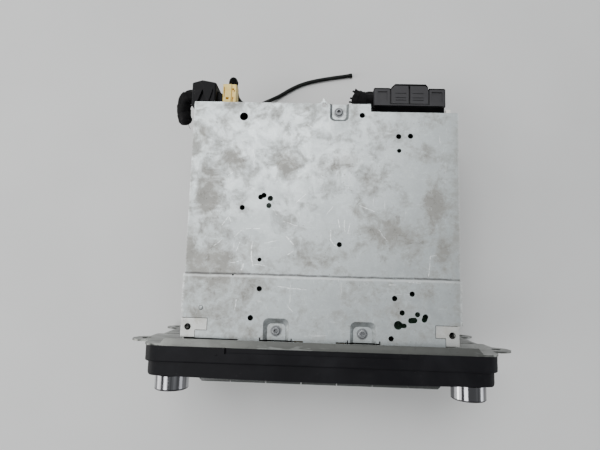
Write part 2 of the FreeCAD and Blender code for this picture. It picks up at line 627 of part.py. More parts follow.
def make_main_plug():
    """Harness plug: a nose in the socket, a hood behind it and a raised middle cap over the lever."""
    hood = box(PLUG_X0, PLUG_X1, 167.2, 180.4, PLUG_Z0, PLUG_Z1)
    hood = hood.makeFillet(1.2, [e for e in hood.Edges if e.CenterOfMass.y > 180.3
                                 or (along(e, "y") and e.CenterOfMass.z > 80)])
    cap = [(47.0, 168.4), (47.0, 180.2), (49.6, 182.8), (71.2, 182.8), (73.4, 180.2), (73.4, 168.4)]
    cap = Part.Face(Part.makePolygon([V(x, y, 87.8) for x, y in cap + cap[:1]])).extrude(V(0, 0, 2.3))
    under = [(47.0, 176.0), (47.0, 180.2), (49.6, 182.8), (71.2, 182.8), (73.4, 180.2), (73.4, 176.0)]
    under = Part.Face(Part.makePolygon([V(x, y, 84.4) for x, y in under + under[:1]])).extrude(V(0, 0, 3.5))
    nose = box(PLUG_X0 + 2.9, PLUG_X1 - 2.9, 161.0, 167.3, PLUG_Z0 + 2.9, PLUG_Z1 - 2.6)
    ears = [box(x, x + 1.6, 180.0, 184.2, 69.5, 74.5) for x in (45.2, 72.2)]
    body = fuse([hood, cap, under, nose] + ears)
    tools = [cyl_x(40, 80, 182.2, 72.0, 0.86)]
    for x0, x1 in ((37.4, 44.2), (75.4, 83.0)):
        tools.append(box(x0, x1, 170.0, 177.4, PLUG_Z1 - 0.8, PLUG_Z1 + 2))
    for x, wide in ((46.4, 0.45), (59.6, 0.6), (73.4, 0.5)):
        tools.append(box(x - wide, x + wide, 168.0, 181.4, PLUG_Z1 - 2.2, PLUG_Z1 + 2))
    for x0, x1 in ((50.0, 57.4), (62.0, 69.6)):
        for y in (170.6, 172.4, 175.6):
            tools.append(box(x0, x1, y, y + 0.5, 89.6, 92))
    return cut(body, tools)


def make_lever():
    """Locking lever, upright under the cap when locked; it tips rearwards."""
    plate = round_box(47.4, 71.6, 180.8, 183.0, 73.0, 82.6, 0.8, "x")
    grip = box(51.0, 68.0, 182.9, 183.9, 78.2, 81.6)
    knuckle = cyl_x(47.4, 71.6, 182.2, 72.0, 1.35)
    web = box(47.4, 71.6, 181.3, 183.0, 71.8, 74.0)
    pin = cyl_x(45.0, 74.0, 182.2, 72.0, 0.8)
    return fuse([plate, grip, knuckle, web, pin])


def make_aux_socket():
    shell = box(-86.9, -78.0, 140.0, 162.4, 78.0, 93.4)
    shell = shell.cut(box(-85.5, -79.4, 148.0, 170, 79.6, 91.8))
    return shell.cut(box(-90, -70, 130, 153.3, BOARD_Z - 0.1, 95))


def make_aux_plug():
    """Side plug: a box with a slightly pitched rear edge and a wedge-shaped hollow in its top."""
    plan = [(AUX_X0, 162.9), (AUX_X0, 179.0), (-87.2, 181.2), (AUX_X1, 179.4), (AUX_X1, 162.9)]
    body = Part.Face(Part.makePolygon([V(x, y, 78.5) for x, y in plan + plan[:1]])).extrude(V(0, 0, 16.5))
    body = body.makeChamfer(0.9, [e for e in body.Edges if e.CenterOfMass.z > 94.9
                                  and abs(e.CenterOfMass.x + 86) > 6])
    wedge = [(-91.6, 162.0), (-83.2, 162.0), (-87.0, 174.6)]
    low = [V(x, y, 92.4) for x, y in wedge]
    wedge = Part.Face(Part.makePolygon(low + low[:1])).extrude(V(0, 0, 5))
    side_cut = Part.Face(Part.makePolygon([V(-82.6, 165.0, 93.6), V(-78.6, 165.0, 93.6), V(-79.4, 175.6, 93.6),
                                           V(-82.6, 165.0, 93.6)])).extrude(V(0, 0, 3))
    nose = box(-85.2, -79.7, 156.0, 163.0, 80.2, 91.2)
    side = box(AUX_X1 - 0.1, -73.9, 163.4, 175.8, 80.0, 88.0)
    side = side.cut(Part.Face(Part.makePolygon([V(AUX_X1, 176.5, 79), V(-73.0, 176.5, 79), V(-73.0, 173.5, 79),
                                                V(AUX_X1, 176.5, 79)])).extrude(V(0, 0, 12)))
    return cut(fuse([body, nose, side]), [wedge, side_cut])


def make_coax_socket():
    body = box(COAX_X - 5.0, COAX_X + 5.0, 144.0, 163.5, COAX_Z - 5.5, COAX_Z + 5.5)
    body = body.cut(cyl_y(COAX_X, 152, 170, COAX_Z, 4.0))
    pin = cyl_y(COAX_X, 151, 159, COAX_Z, 0.5)
    foot = box(COAX_X - 4, COAX_X + 4, 145, 151, COAX_Z + 5.4, BOARD_Z)
    return fuse([body, pin, foot])


def make_coax_plug():
    """Aerial plug: a latch pad on the left of its top, a lower rail on the right."""
    x, z = COAX_X, COAX_Z
    nose = cyl_y(x, 154.5, 164.4, z, 3.7).cut(cyl_y(x, 150, 162.0, z, 1.2))
    body = box(x - 4.9, x + 4.5, 164.1, 181.0, z - 4.6, z + 5.0)
    body = fillet_where(body, 0.8, lambda e: along(e, "y"))
    pad = box(x - 4.9, x + 1.2, 164.1, 180.4, z + 3.0, z + 7.0)
    pad = fillet_where(pad, 0.6, lambda e: along(e, "y") and e.CenterOfMass.z > z + 6)
    rail = box(x + 3.1, x + 4.3, 165.0, 180.2, z + 4.6, z + 5.8)
    body = fuse([nose, body, pad, rail])
    tools = [box(x - 4.1, x - 3.4, 170.6, 178.2, z + 5.2, z + 9),
             box(x - 2.6, x - 0.4, 169.0, 170.7, z + 3.4, z + 9),
             box(x + 1.5, x + 2.7, 176.8, 178.2, z + 2.6, z + 9),
             box(x + 2.6, x + 3.6, 175.4, 176.6, z + 2.6, z + 9),
             box(x + 1.7, x + 2.4, 164.0, 171.5, z + 3.4, z + 9)]
    return cut(body, tools)


def make_coax_boot():
    # moulded elbow: out of the plug's rear face, then down
    x, z, bend = BOOT_X, COAX_Z, 4.6
    y0, y1, z1 = 181.0, 187.4, 76.5
    k = bend * (1 - math.sqrt(0.5))
    path = Part.Wire([
        Part.LineSegment(V(x, y0, z), V(x, y1 - bend, z)).toShape(),
        Part.Arc(V(x, y1 - bend, z), V(x, y1 - k, z - k), V(x, y1, z - bend)).toShape(),
        Part.LineSegment(V(x, y1, z - bend), V(x, y1, z1)).toShape()])
    ring = Part.Wire([Part.makeCircle(2.8, V(x, y0, z), V(0, 1, 0))])
    elbow = path.makePipeShell([ring], True, False)
    grooves = [cyl_z(x, y1, gz, gz + 0.5, 4.0).cut(cyl_z(x, y1, gz - 1, gz + 2, 2.2)) for gz in (77.3, 78.5)]
    return cut(elbow, grooves)


BOOT_X = -67.8
CORD_R = 1.7
CORD_PATH = [
    (-67.8, 187.4, 76.5), (-67.8, 187.4, 71.0), (-68.6, 185.6, 64.8), (-68.6, 183.2, 58.4),
    (-66.4, 181.8, 51.6), (-62.2, 182.4, 44.6), (-58.2, 185.4, 36.8), (-55.5, 190.0, 27.6),
    (-53.2, 195.4, 17.8), (-51.0, 200.6, 9.4), (-46.8, 205.2, 3.6), (-40.4, 209.2, 1.8),
    (-33.4, 213.9, 1.8), (-26.4, 218.0, 1.8), (-18.9, 221.4, 1.8), (-9.6, 224.1, 1.8),
    (2.0, 226.5, 1.8), (14.0, 228.5, 1.8), (25.8, 230.4, 1.8),
]
STUB_L_R = 4.3
STUB_L = [(AUX_X0, 172.4, 86.2), (-99.0, 172.4, 86.2), (-102.3, 168.6, 85.3),
          (-102.8, 162.6, 83.5), (-102.2, 157.2, 81.9), (-101.3, 152.8, 80.5)]
STUB_R_R = 6.0
STUB_R = [(34.6, 173.6, 81.6), (29.2, 173.6, 81.6), (24.0, 174.6, 81.4), (19.8, 176.2, 81.0)]


# ---------------------------------------------------------------- boards

def make_main_board():
    board = box(-82, 82, 11, 153, BOARD_Z, BOARD_Z + 1.6)
    parts = [board]
    for x, y, w, d, h in ((-30, 60, 22, 22, 2.2), (20, 60, 14, 14, 1.8), (50, 100, 18, 12, 2.4),
                          (-60, 70, 10, 16, 2.0), (0, 100, 12, 9, 1.8), (52, 50, 9, 9, 1.6)):
        parts.append(box(x, x + w, y, y + d, BOARD_Z - h, BOARD_Z + 0.1))
    for i in range(12):
        parts.append(box(-70 + 12 * i, -67 + 12 * i, 34, 36, BOARD_Z - 1.2, BOARD_Z + 0.1))
    parts.append(box(-20, 20, 25, 30, BOARD_Z - 5.0, BOARD_Z + 0.1))
    board = fuse(parts)
    posts = [(x, y) for x in (-77, 77) for y in (32, 128)]
    return cut(board, [cyl_z(x, y, 80, 100, 1.7) for x, y in posts])


def make_tuner():
    can = box(-76, -42, 100, 139, 74.5, BOARD_Z)
    can = can.cut(box(-75.3, -42.7, 100.7, 138.3, 75.2, BOARD_Z + 1))
    can = can.fuse(box(-75.4, -42.6, 119, 119.8, 75.0, BOARD_Z))
    return cut(can, [cyl_z(-68 + 8 * i, 110 + 9 * j, 70, 80, 1.6) for i in range(4) for j in range(3)])


def make_amp():
    body = box(-22, 2, 150.6, REAR_Y - 1.2, 70.0, 86.0)
    legs = [box(-21 + 1.9 * i, -20.3 + 1.9 * i, 151.6 + 1.6 * (i % 2), 152.2 + 1.6 * (i % 2), 85.9,
                BOARD_Z) for i in range(12)]
    return fuse([body] + legs)


def make_caps():
    spots = [(-10, 128, 8.0, 30), (10, 134, 5.0, 20), (24, 120, 5.0, 18), (-28, 130, 5.0, 16),
             (-66, 46, 3.2, 9), (66, 84, 4.0, 12), (66, 68, 4.0, 12), (0, 84, 3.2, 9)]
    out = []
    for x, y, r, h in spots:
        can = cyl_z(x, y, BOARD_Z - h, BOARD_Z, r)
        can = can.makeFillet(0.6, [e for e in can.Edges if not along(e, "z")
                                   and e.Vertexes[0].Z < BOARD_Z - h + 0.1])
        groove = cyl_z(x, y, BOARD_Z - 2.4, BOARD_Z - 1.6, r + 1).cut(
            cyl_z(x, y, BOARD_Z - 3, BOARD_Z - 1, r - 0.35))
        out.append(can.cut(groove))
    coil = Part.makeTorus(7.0, 3.0, V(-20, 98, BOARD_Z - 3.0))
    return group(out + [coil])


def make_ribbon():
    """Flat cable from the main board through the plate window to the front board."""
    t = 0.4
    return box(-17, 17, -3.0, 25.0, 88.6, 88.6 + t)


# ---------------------------------------------------------------- disc mechanism

MECH_HALF_W = 73.0


def make_mech_frame():
    w, t = MECH_HALF_W, 1.2
    top = box(-w, w, 6, 146, 38.0, 38.0 + t)
    parts = [top]
    for s in (-1, 1):
        a, b = sorted((s * w, s * (w - t)))
        parts.append(box(a, b, 6, 146, 10.0, 39.0))
        a, b = sorted((s * w, s * (w - 7)))
        parts.append(box(a, b, 12, 30, 10.0, 11.0))
        parts.append(box(a, b, 122, 140, 10.0, 11.0))
    parts.append(box(-w, w, 144.8, 146, 24.0, 39.0))
    # carriers for the rails, the screw and the clamp pivot
    for y in (92.0, 139.0):
        parts.append(box(-24, 32, y, y + 2.0, 26.0, 38.5))
    for s in (-1, 1):
        parts.append(box(s * 30 - 1, s * 30 + 1, 128, 134, 10.5, 38.5))
    frame = fuse(parts)
    tools = []
    for s in (-1, 1):
        tools.append(cyl_x(s * w - 3, s * w + 3, 14, 26.0, 1.56))
        tools.append(cyl_y(s * 18, 85, 145, 30.0, 1.5))
    tools.append(cyl_y(26, 85, 145, 30.0, 1.46))
    tools.append(cyl_x(-35, 35, 131, 13.5, 1.06))
    for x in (-50, 50):
        for y in (40, 60, 110):
            tools.append(cyl_z(x, y, 30, 45, 6))
    return cut(frame, tools)


def make_dampers():
    out = []
    for x in (-69.5, 69.5):
        for y in (18, 132):
            out.append(cyl_z(x, y, CH_Z0 + TRAY_WALL, 10.0, 4.0))
    return group(out)


def make_spindle_motor():
    can = cyl_z(0, SPINDLE_Y, 24.0, 36.0, 12.5)
    can = can.makeFillet(1.0, [e for e in can.Edges if not along(e, "z")])
    flange = box(-16, 16, SPINDLE_Y - 10, SPINDLE_Y + 10, 36.0, 38.0)
    return fuse([can, flange, cyl_z(0, SPINDLE_Y, 35.0, 37.0, 10.0)]).cut(
        cyl_z(0, SPINDLE_Y, 20, 33.0, 1.05))


def make_turntable():
    plate = cyl_z(0, SPINDLE_Y, 20.8, 22.8, 14.5)
    nose = Part.makeCone(7.4, 5.8, 2.6, V(0, SPINDLE_Y, 20.9), V(0, 0, -1))
    shaft = cyl_z(0, SPINDLE_Y, 22.7, 32.0, 1.0)
    body = fuse([plate, nose, shaft])
    return cut(body, [cyl_z(11 * math.cos(a), SPINDLE_Y + 11 * math.sin(a), 20, 24, 1.2)
                      for a in [i * 2 * math.pi / 3 for i in range(3)]])


def make_rails():
    return group([cyl_y(s * 18, 91.0, 142.0, 30.0, 1.5) for s in (-1, 1)])


def make_sled():
    body = box(-22, 22, 95.0, 110.0, 26.5, 33.5)
    body = fillet_where(body, 1.5, lambda e: along(e, "z"))
    lens_ring = cyl_z(0, 101.5, 24.2, 26.6, 4.2).cut(cyl_z(0, 101.5, 24.0, 25.0, 3.0))
    nut = box(21.5, 28.6, 98.0, 106.0, 27.0, 33.0)
    body = fuse([body, lens_ring, nut])
    tools = [cyl_y(s * 18, 90, 120, 30.0, 1.56) for s in (-1, 1)]
    tools.append(cyl_y(26, 90, 120, 30.0, 1.46))
    return cut(body, tools)


def make_lead_screw():
    rod = cyl_y(26, 91.0, 142.0, 30.0, 1.4)
    gear = cyl_y(26, 142.0, 144.2, 30.0, 4.5)
    teeth = []
    for i in range(14):
        a = i * 2 * math.pi / 14
        teeth.append(cyl_y(26 + 4.7 * math.cos(a), 141.0, 146, 30.0 + 4.7 * math.sin(a), 0.55))
    return cut(fuse([rod, gear]), teeth)


def make_roller():
    rubber = cyl_x(-60, 60, 14, 26.0, 4.2)
    waist = cyl_x(-22, 22, 14, 26.0, 4.2).cut(cyl_x(-23, 23, 14, 26.0, 3.7))
    shaft = cyl_x(-75.2, 75.2, 14, 26.0, 1.5)
    return fuse([rubber.cut(waist), shaft])


def make_clamp():
    arm = box(-14, 14, SPINDLE_Y - 8, 126, 10.6, 11.8)
    arm = fillet_where(arm, 5.0, lambda e: along(e, "z") and e.CenterOfMass.y < SPINDLE_Y)
    wide = box(-27.5, 27.5, 120, 134.0, 10.6, 11.8)
    lugs = [box(s * 27.5 - 0.9, s * 27.5 + 0.9, 127, 134.0, 10.7, 16.0) for s in (-1, 1)]
    pin = cyl_x(-31.4, 31.4, 131, 13.5, 1.0)
    puck = cyl_z(0, SPINDLE_Y, 11.7, 16.4, 11.0)
    puck = puck.makeFillet(0.8, [e for e in puck.Edges if not along(e, "z")
                                 and e.Vertexes[0].Z > 16])
    return fuse([arm, wide, pin, puck] + lugs)


def make_screws():
    top_r = CH_Z1 - FOLD_DROP
    out = [screw(SCREW_REAR[0], SCREW_REAR[1], top_r - 1.6, 2.6, 1.7, 3.0)]
    for x, y in SCREW_FRONT:
        out.append(screw(x, y, CH_Z1 - 1.6, 2.8, 1.7, 3.0))
    return group(out)


def make_clip():
    post = box(83.2, 86.6, REAR_Y, 161.4, 92.5, 97.5)
    post = fillet_where(post, 0.8, lambda e: along(e, "y"))
    return post


def main():
    os.makedirs("parts", exist_ok=True)
    save("cover", make_cover())
    save("cover_screws", make_screws())
    save("chassis_tray", make_tray())
    save("bracket_left", make_bracket(-1))
    save("bracket_right", make_bracket(1))
    save("mounting_plate", make_plate())
    save("rear_panel", make_rear_panel())
    save("heatsink", make_heatsink())
    save("nylon_clip", make_clip())
    save("bezel", make_bezel())
    save("fascia", make_fascia())
    save("display_lens", make_lens())
    save("lcd_module", make_lcd())
    save("front_board", make_front_board())
    save("slot_felt", make_felt())
    for s, name in ((-1, "volume"), (1, "tune")):
        save(name + "_encoder", make_encoder(s))
        save(name + "_post", make_shaft(s))
        save(name + "_knob", make_knob(s))
        save(name + "_cap", make_cap(s))
    for i in range(7):
        save("key_%d" % (i + 1), make_key(i))
    for s, side in ((-1, "left"), (1, "right")):
        for j, z in enumerate(BUTTON_ZS):
            save("button_%s_%d" % (side, j + 1), make_button(s, z))
    save("eject_button", make_eject())
    save("main_board", make_main_board())
    save("tuner_can", make_tuner())
    save("amplifier_chip", make_amp())
    save("capacitors", make_caps())
    save("ribbon_cable", make_ribbon())
    save("main_socket", make_main_socket())
    save("aux_socket", make_aux_socket())
    save("coax_socket", make_coax_socket())
    save("mech_frame", make_mech_frame())
    save("dampers", make_dampers())
    save("spindle_motor", make_spindle_motor())
    save("turntable", make_turntable())
    save("sled_rails", make_rails())
    save("pickup_sled", make_sled())
    save("lead_screw", make_lead_screw())
    save("feed_roller", make_roller())
    save("clamp_arm", make_clamp())
    save("main_plug", make_main_plug())
    save("plug_lever", make_lever())
    save("aux_plug", make_aux_plug())
    save("coax_plug", make_coax_plug())
    save("coax_boot", make_coax_boot())
    save("coax_cord", tube(CORD_PATH, CORD_R, "coax_cord"))
    save("taped_stub_left", tube(STUB_L, STUB_L_R, "taped_stub_left"))
    save("taped_stub_right", tube(STUB_R, STUB_R_R, "taped_stub_right"))


main()
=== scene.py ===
import json
import math
import random

import bpy
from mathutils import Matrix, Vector, noise as mnoise


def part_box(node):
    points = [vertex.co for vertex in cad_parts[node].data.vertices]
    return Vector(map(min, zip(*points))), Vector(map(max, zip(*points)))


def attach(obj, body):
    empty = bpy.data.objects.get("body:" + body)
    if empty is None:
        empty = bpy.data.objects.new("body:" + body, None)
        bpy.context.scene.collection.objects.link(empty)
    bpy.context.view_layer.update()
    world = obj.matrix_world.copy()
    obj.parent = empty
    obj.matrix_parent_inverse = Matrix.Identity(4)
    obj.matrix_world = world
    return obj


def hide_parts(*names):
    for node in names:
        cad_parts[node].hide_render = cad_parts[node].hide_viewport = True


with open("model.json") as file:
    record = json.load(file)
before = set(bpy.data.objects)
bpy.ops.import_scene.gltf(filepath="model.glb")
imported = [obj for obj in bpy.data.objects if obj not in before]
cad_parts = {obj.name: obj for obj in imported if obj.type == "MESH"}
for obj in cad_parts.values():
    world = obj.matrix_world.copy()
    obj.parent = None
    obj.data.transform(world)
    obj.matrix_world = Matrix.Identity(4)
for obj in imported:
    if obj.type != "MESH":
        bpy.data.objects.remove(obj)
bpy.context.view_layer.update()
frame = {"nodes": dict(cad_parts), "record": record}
NODES = frame["nodes"]
MM = 0.001
PLATE_Y = -77.1     # where the mounting plate's rear face lies in the frame, millimetres


def at(x, y, z):
    """Plate-based millimetres to the frame's metres."""
    return Vector((x * MM, (y + PLATE_Y) * MM, z * MM))


def to_mm(point):
    """The frame's metres to plate-based millimetres."""
    return tuple(Vector(point) * 1000 - Vector((0, PLATE_Y, 0)))


def link(name, data):
    ob = bpy.data.objects.new(name, data)
    bpy.context.scene.collection.objects.link(ob)
    return ob


# ------------------------------------------------------------ camera and light

CAMERA_PLACE = (-0.00522, -0.03438, 0.39846)
CAMERA_TURN = (6.934, 1.651, 1.675)     # degrees
FOCAL_LENGTH = 27.06

camera = bpy.data.cameras.new("cam")
camera.lens = FOCAL_LENGTH
camera.sensor_width = 36
camera.clip_start = 0.01
camera_ob = link("cam", camera)
camera_ob.location = CAMERA_PLACE
camera_ob.rotation_euler = [math.radians(a) for a in CAMERA_TURN]
bpy.context.scene.camera = camera_ob


def area(name, place, target, width, power, depth=None, colour=(1, 1, 1)):
    """A soft area light at a place, turned towards its target."""
    light = bpy.data.lights.new(name, "AREA")
    light.energy = power
    light.color = colour
    light.size = width
    if depth:
        light.shape = "RECTANGLE"
        light.size_y = depth
    ob = link(name, light)
    ob.location = place
    ob.rotation_euler = (Vector(target) - Vector(place)).to_track_quat("-Z", "Y").to_euler()


area("window_left", (-1.5, -0.15, 0.45), (0, -0.05, 0.1), 1.0, 13, 0.85, (1.0, 0.99, 0.97))
area("ceiling", (-0.22, 0.50, 1.5), (0, 0, 0.1), 0.9, 13, 0.6)
area("strip_top", (-0.62, -0.42, 1.25), (0, -0.05, 0.1), 0.35, 4.0, 0.5)
area("face_soft", (0.5, -1.5, 0.5), (0, -0.1, 0.06), 0.9, 2.4, 0.5)
area("wall_right", (1.5, -0.25, 0.35), (0, -0.05, 0.1), 0.6, 2.6, 0.6, (0.96, 0.98, 1.0))
area("back_soft", (0.2, 1.3, 0.9), (0, 0, 0.1), 1.0, 5)

world = bpy.data.worlds.new("studio")
world.use_nodes = True
background = world.node_tree.nodes["Background"]
background.inputs["Color"].default_value = (0.80, 0.82, 0.84, 1)
background.inputs["Strength"].default_value = 0.34
bpy.context.scene.world = world


# ------------------------------------------------------------ material kit

def scaled(colour, factor, lift=0.0):
    return tuple(c * factor + lift for c in colour)


class Mat:
    """A principled material and short calls for the nodes that feed it."""

    def __init__(self, name):
        self.material = bpy.data.materials.new(name)
        self.material.use_nodes = True
        self.tree = self.material.node_tree
        self.tree.nodes.clear()
        out = self.node("OutputMaterial")
        self.shader = self.node("BsdfPrincipled")
        self.tree.links.new(self.shader.outputs[0], out.inputs[0])
        coords = self.node("TexCoord")
        self.co = coords.outputs["Object"]
        self.in_box = coords.outputs["Generated"]

    def node(self, kind):
        return self.tree.nodes.new("ShaderNode" + kind)

    def put(self, socket, value):
        """Link a socket or set its value."""
        if isinstance(value, bpy.types.NodeSocket):
            self.tree.links.new(value, socket)
        elif isinstance(value, tuple) and len(value) == 3 and socket.type == "RGBA":
            socket.default_value = (*value, 1)
        else:
            socket.default_value = value

    def stretch(self, scale, turn=(0, 0, 0), vec=None):
        n = self.node("Mapping")
        self.put(n.inputs[0], vec or self.co)
        n.inputs["Rotation"].default_value = turn
        n.inputs["Scale"].default_value = scale
        return n.outputs[0]

    def noise(self, scale, detail=3.0, rough=0.55, vec=None, warp=0.0, out=0):
        n = self.node("TexNoise")
        self.put(n.inputs["Vector"], vec or self.co)
        n.inputs["Scale"].default_value = scale
        n.inputs["Detail"].default_value = detail
        n.inputs["Roughness"].default_value = rough
        n.inputs["Distortion"].default_value = warp
        return n.outputs[out]

    def cells(self, scale, feature="F1", scatter=1.0):
        n = self.node("TexVoronoi")
        n.feature = feature
        self.put(n.inputs["Vector"], self.co)
        n.inputs["Scale"].default_value = scale
        n.inputs["Randomness"].default_value = scatter
        return n.outputs["Distance"]

    def span(self, value, a, b, c=0.0, d=1.0):
        """A value from a to b eased onto c to d."""
        n = self.node("MapRange")
        n.interpolation_type = "SMOOTHSTEP"
        self.put(n.inputs[0], value)
        for i, v in enumerate((a, b, c, d)):
            n.inputs[i + 1].default_value = v
        return n.outputs[0]

    def math(self, op, a, b=0.0, clamp=False):
        n = self.node("Math")
        n.operation = op
        n.use_clamp = clamp
        self.put(n.inputs[0], a)
        self.put(n.inputs[1], b)
        return n.outputs[0]

    def times(self, a, b):
        return self.math("MULTIPLY", a, b)

    def plus(self, a, b):
        return self.math("ADD", a, b)

    def gap(self, a, b):
        """How far apart two values are."""
        return self.math("ABSOLUTE", self.math("SUBTRACT", a, b))

    def vec(self, op, a, b=None, scale=None, out=0):
        n = self.node("VectorMath")
        n.operation = op
        self.put(n.inputs[0], a)
        if b is not None:
            self.put(n.inputs[1], b)
        if scale is not None:
            self.put(n.inputs["Scale"], scale)
        return n.outputs[out]

    def length(self, vector):
        return self.vec("LENGTH", vector, out=1)

    def apart(self, vector):
        n = self.node("SeparateXYZ")
        self.put(n.inputs[0], vector)
        return n.outputs

    def mix(self, fac, a, b):
        n = self.node("Mix")
        n.data_type = "RGBA"
        self.put(n.inputs[0], fac)
        self.put(n.inputs[6], a)
        self.put(n.inputs[7], b)
        return n.outputs[2]

    def bump(self, height, strength, distance):
        n = self.node("Bump")
        n.inputs["Strength"].default_value = strength
        n.inputs["Distance"].default_value = distance
        self.put(n.inputs["Height"], height)
        return n.outputs[0]

    def set(self, **values):
        for key, value in values.items():
            self.put(self.shader.inputs[key.replace("_", " ")], value)
        return self.material

    def normal(self):
        return self.apart(self.node("NewGeometry").outputs["True Normal"])

    def slope(self, low, high):
        """1 on tilted metal, 0 on level and on upright faces."""
        up = self.normal()[2]
        return self.times(self.span(up, low, high, 1.0, 0.0), self.span(up, 0.15, 0.4))

    def plate_xy(self):
        """The surface point's x and y in plate-based millimetres."""
        x, y = self.apart(self.co)[:2]
        return self.times(x, 1000), self.plus(self.times(y, 1000), -PLATE_Y)

    def shaken(self, scale, detail, amount):
        """The surface point moved a little, so that a drawn mark has a natural outline."""
        shift = self.vec("SUBTRACT", self.noise(scale, detail, out=1), (0.5, 0.5, 0.5))
        return self.vec("ADD", self.co, self.vec("SCALE", shift, scale=amount))

    def spots(self, places):
        """Soft patches: x, y, half width, half depth in plate-based millimetres, and weight."""
        point = self.shaken(22, 3, 0.036)
        total = None
        for x, y, half_x, half_y, weight in places:
            q = self.vec("SUBTRACT", point, tuple(at(x, y, 0)))
            q = self.vec("MULTIPLY", q, (1000 / half_x, 1000 / half_y, 0))
            patch = self.span(self.length(q), 0.2, 1.0, weight, 0.0)
            total = patch if total is None else self.plus(total, patch)
        return total

    def lines(self, strokes):
        """Thin strokes: two ends in plate-based millimetres, and width."""
        point = self.vec("MULTIPLY", self.shaken(60, 2, 0.0044), (1, 1, 0))
        total = None
        for x0, y0, x1, y1, width in strokes:
            start, run = at(x0, y0, 0), at(x1, y1, 0) - at(x0, y0, 0)
            unit = tuple(run.normalized())
            q = self.vec("SUBTRACT", point, tuple(start))
            along = self.math("MAXIMUM", self.vec("DOT_PRODUCT", q, unit, out=1), 0.0)
            along = self.math("MINIMUM", along, run.length)
            foot = self.vec("SCALE", unit, scale=along)
            off = self.length(self.vec("SUBTRACT", q, foot))
            stroke = self.span(off, width * MM * 0.15, width * MM * 0.6, 1.0, 0.0)
            total = stroke if total is None else self.math("MAXIMUM", total, stroke)
        return total


# ------------------------------------------------------------ metals

# wear placed on the cover: x, y, half width, half depth, weight
WARM_PATCHES = [
    (-70, 52, 22, 15, 0.75), (-76, 96, 14, 22, 0.85), (-62, 122, 15, 14, 0.7), (-48, 60, 12, 9, 0.5),
    (-22, 124, 15, 12, 0.6), (10, 120, 20, 14, 0.65), (72, 92, 16, 22, 0.75), (48, 72, 20, 13, 0.6),
    (79, 60, 9, 16, 0.7), (64, 36, 13, 9, 0.5), (-77, 20, 11, 12, 0.6), (36, 142, 16, 8, 0.4),
    (-6, 58, 19, 8, 0.5), (20, 18, 16, 10, 0.4), (62, 132, 12, 12, 0.55), (34, 104, 12, 9, 0.45),
    (-40, 36, 16, 7, 0.4), (-84, 140, 6, 12, 0.6), (24, 84, 8, 8, 0.4), (-84, 66, 6, 16, 0.5),
]
CLEAN_PATCHES = [
    (-36, 76, 20, 17, 0.55), (4, 84, 17, 13, 0.7), (-58, 78, 12, 9, 0.45), (34, 54, 20, 9, 0.4),
    (-34, 104, 18, 12, 0.45), (56, 112, 15, 9, 0.3), (-20, 24, 26, 12, 0.35), (-38, 142, 22, 9, 0.4),
    (10, 148, 18, 6, 0.3), (-14, 104, 12, 9, 0.35),
]
# scratches drawn on the cover: x and y of both ends, width
SCRATCHES = [
    (-66, 77, -62, 83, 0.7), (-62, 83, -60, 79, 0.5), (-57, 69, -53, 73, 0.5), (-56, 60, -53.4, 66, 0.6),
    (-45.5, 58, -45.0, 67, 0.9), (-44.6, 50.5, -45.4, 58, 0.8), (-52.5, 47.5, -51.2, 51, 1.3),
    (-43.5, 51.4, -37, 51.0, 0.6), (-22.5, 70.5, -18.4, 65.5, 1.0), (-22, 58.5, -19, 60, 0.8),
    (9.5, 82.5, 11.5, 77.0, 0.8), (5.0, 75, 5.3, 69, 0.7), (5.4, 69, 9.0, 64.5, 0.9),
    (18, 80, 16.6, 73, 0.6), (13.8, 83, 14.8, 74.5, 0.6), (2.8, 85.5, 6.0, 91, 0.6),
    (-28, 38, -9, 36.6, 0.6), (-56.2, 23, -54.8, 29, 0.7), (-21, 26, -17.5, 22, 0.6),
    (44, 41, 48, 40.4, 0.9), (56, 43, 63, 42.4, 0.7), (-64, 110, -60, 113, 0.5),
    (-12, 147, -8, 144, 0.5), (24, 92, 33, 89, 0.5), (-70, 63, -66, 67, 0.5), (37, 77, 42, 70, 0.4),
    (-33, 88, -30, 84, 0.5), (-18, 93, -12, 99, 0.45), (-50, 74, -41, 75.5, 0.5),
    (-38, 66, -28, 68, 0.5), (68, 47, 70, 60, 0.8), (70, 60, 74, 60.5, 0.6), (-26, 80, -16, 78, 0.4),
    (-60, 52, -52, 53.5, 0.5),
]
CREASE_Y = 45.2     # the cover's fold line, with painted shade along it, and the ridge in front of it, with a painted highlight
RIDGE_Y = 43.7
RIM_HIGHLIGHT_X = (88.0, 89.2)     # painted highlight along the cover's side rims, in broken patches
